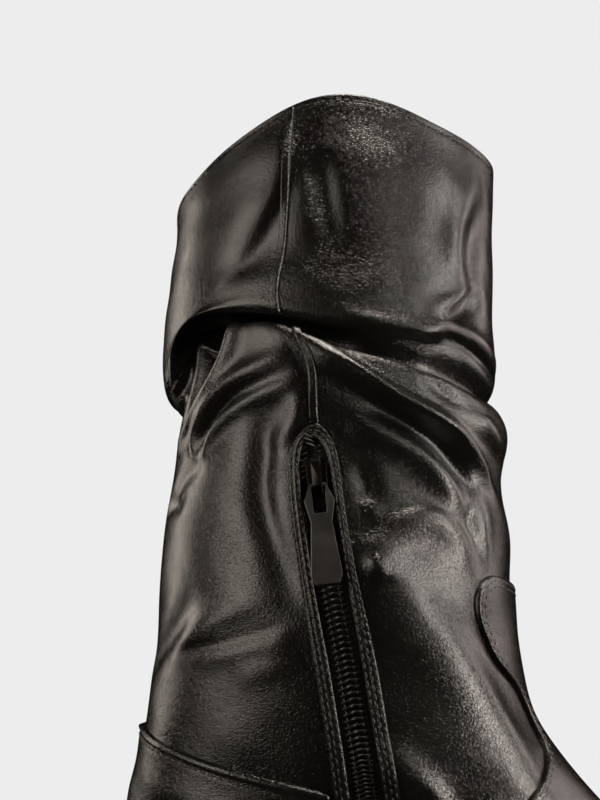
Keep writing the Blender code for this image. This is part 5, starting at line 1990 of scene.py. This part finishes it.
@dataclass
class Studio:
    """A pale floor and backdrop, soft lights and the camera."""

    backdrop: str = "ededed"
    dim: float = 0.006  # how much light the surround itself gives
    softboxes: tuple[Softbox, ...] = (
        Softbox("softbox_top", 44, 72, 1.2, 0.4, 0.35, 14, "fff6ea"),
        Softbox("softbox_left", -56, 14, 1.15, 0.8, 0.8, 8, "fff3e6"),
        Softbox("softbox_left_rim", -118, 16, 1.2, 0.4, 0.8, 4, "fff3e6"),
        Softbox("softbox_front", 38, 22, 1.2, 0.2, 0.3, 1.4, "fff6ea"),
        Softbox("softbox_right", 72, 16, 1.15, 0.24, 0.8, 7, "fff8f0"),
        Softbox("softbox_right_rim", 108, 16, 1.2, 0.4, 0.8, 3.6, "fff0ea"),
        Softbox("softbox_low", 68, -8, 1, 0.3, 0.15, 4.6, "fff4ea"),
    )
    camera_place: tuple[float, float, float] = (0.019, -0.2819, 0.1364)
    camera_pitch: float = 110.0
    lens: float = 41.85
    floor_half: float = 1200.0  # mm

    def build(self) -> None:
        """Makes the floor, the pale surround that only the camera sees, the lights and the camera."""
        scene = bpy.context.scene
        scene.view_settings.view_transform = "Standard"
        world = bpy.data.worlds.new("studio")
        scene.world = world
        world.use_nodes = True
        tree = world.node_tree
        seen = tree.nodes["Background"]
        seen.inputs["Color"].default_value = linear(self.backdrop)
        dim = add_node(tree, "ShaderNodeBackground", Color=linear("ffffff"), Strength=self.dim)
        path = add_node(tree, "ShaderNodeLightPath")
        mix = add_node(
            tree, "ShaderNodeMixShader",
            in_0=path.outputs["Is Camera Ray"], in_1=dim.outputs[0], in_2=seen.outputs[0],
        )
        tree.links.new(mix.outputs["Shader"], tree.nodes["World Output"].inputs["Surface"])
        for softbox in self.softboxes:
            softbox.build()
        self.floor()
        camera = bpy.data.objects.new("camera", bpy.data.cameras.new("camera"))
        scene.collection.objects.link(camera)
        camera.data.lens = self.lens
        camera.data.sensor_width = 36.0
        camera.data.clip_start = 0.01
        camera.location = self.camera_place
        camera.rotation_euler = (math.radians(self.camera_pitch), 0, 0)
        scene.camera = camera

    def floor(self) -> None:
        """A plain pale floor that lies 0.05 mm under the sole."""
        square = np.array([[-1, -1], [1, -1], [1, 1], [-1, 1]])
        corners = np.column_stack([square * self.floor_half, np.full(4, -0.05)])
        obj = make_mesh("floor", corners, np.array([[0, 1, 2, 3]]))
        material = bpy.data.materials.new("painted_floor")
        material.use_nodes = True
        tree = material.node_tree
        shader = tree.nodes["Principled BSDF"]
        place = add_node(tree, "ShaderNodeTexCoord").outputs["Object"]
        grain = add_node(tree, "ShaderNodeTexNoise", Vector=place, Scale=per_metre(60.0), Detail=3.0)
        tone = add_node(
            tree, "ShaderNodeMix", {"data_type": "RGBA"},
            in_0=grain.outputs["Fac"], in_6=linear("dcdbd9"), in_7=linear("e4e3e1"),
        )
        tree.links.new(tone.outputs[2], shader.inputs["Base Color"])
        shader.inputs["Roughness"].default_value = 0.8
        obj.data.materials.append(material)
        obj.visible_glossy = False


def main() -> None:
    """Builds the boot piece by piece, then the studio round it."""
    logging.basicConfig(level=logging.INFO, format="%(message)s")
    form = UpperForm()
    row = form.row
    wardrobe = Wardrobe()
    UpperShell().build(form, wardrobe)
    Vamp().build(form, wardrobe)
    Counter().build(form, wardrobe)
    ZipFacing().build(form, wardrobe)
    crest, lip = row["crest"], row["lip"]
    strips = (
        SeamStrip("seam_inner_low", "seam_strip_inner_low", Side.INNER, 212.0, crest),
        SeamStrip("seam_inner_high", "seam_strip_inner_high", Side.INNER, lip + 0.5, form.top - 1.6),
        SeamStrip("seam_outer_low", "seam_strip_outer_low", Side.OUTER, row["vamp_low"], crest),
        SeamStrip("seam_outer_high", "seam_strip_outer_high", Side.OUTER, lip + 0.5, form.top - 1.6),
    )
    for strip in strips:
        strip.build(form, wardrobe)
    Zip().build(form, wardrobe)
    SliderAndTab().build(wardrobe)
    Sole().build(form, wardrobe)
    Studio().build()


if __name__ == "__main__":
    main()
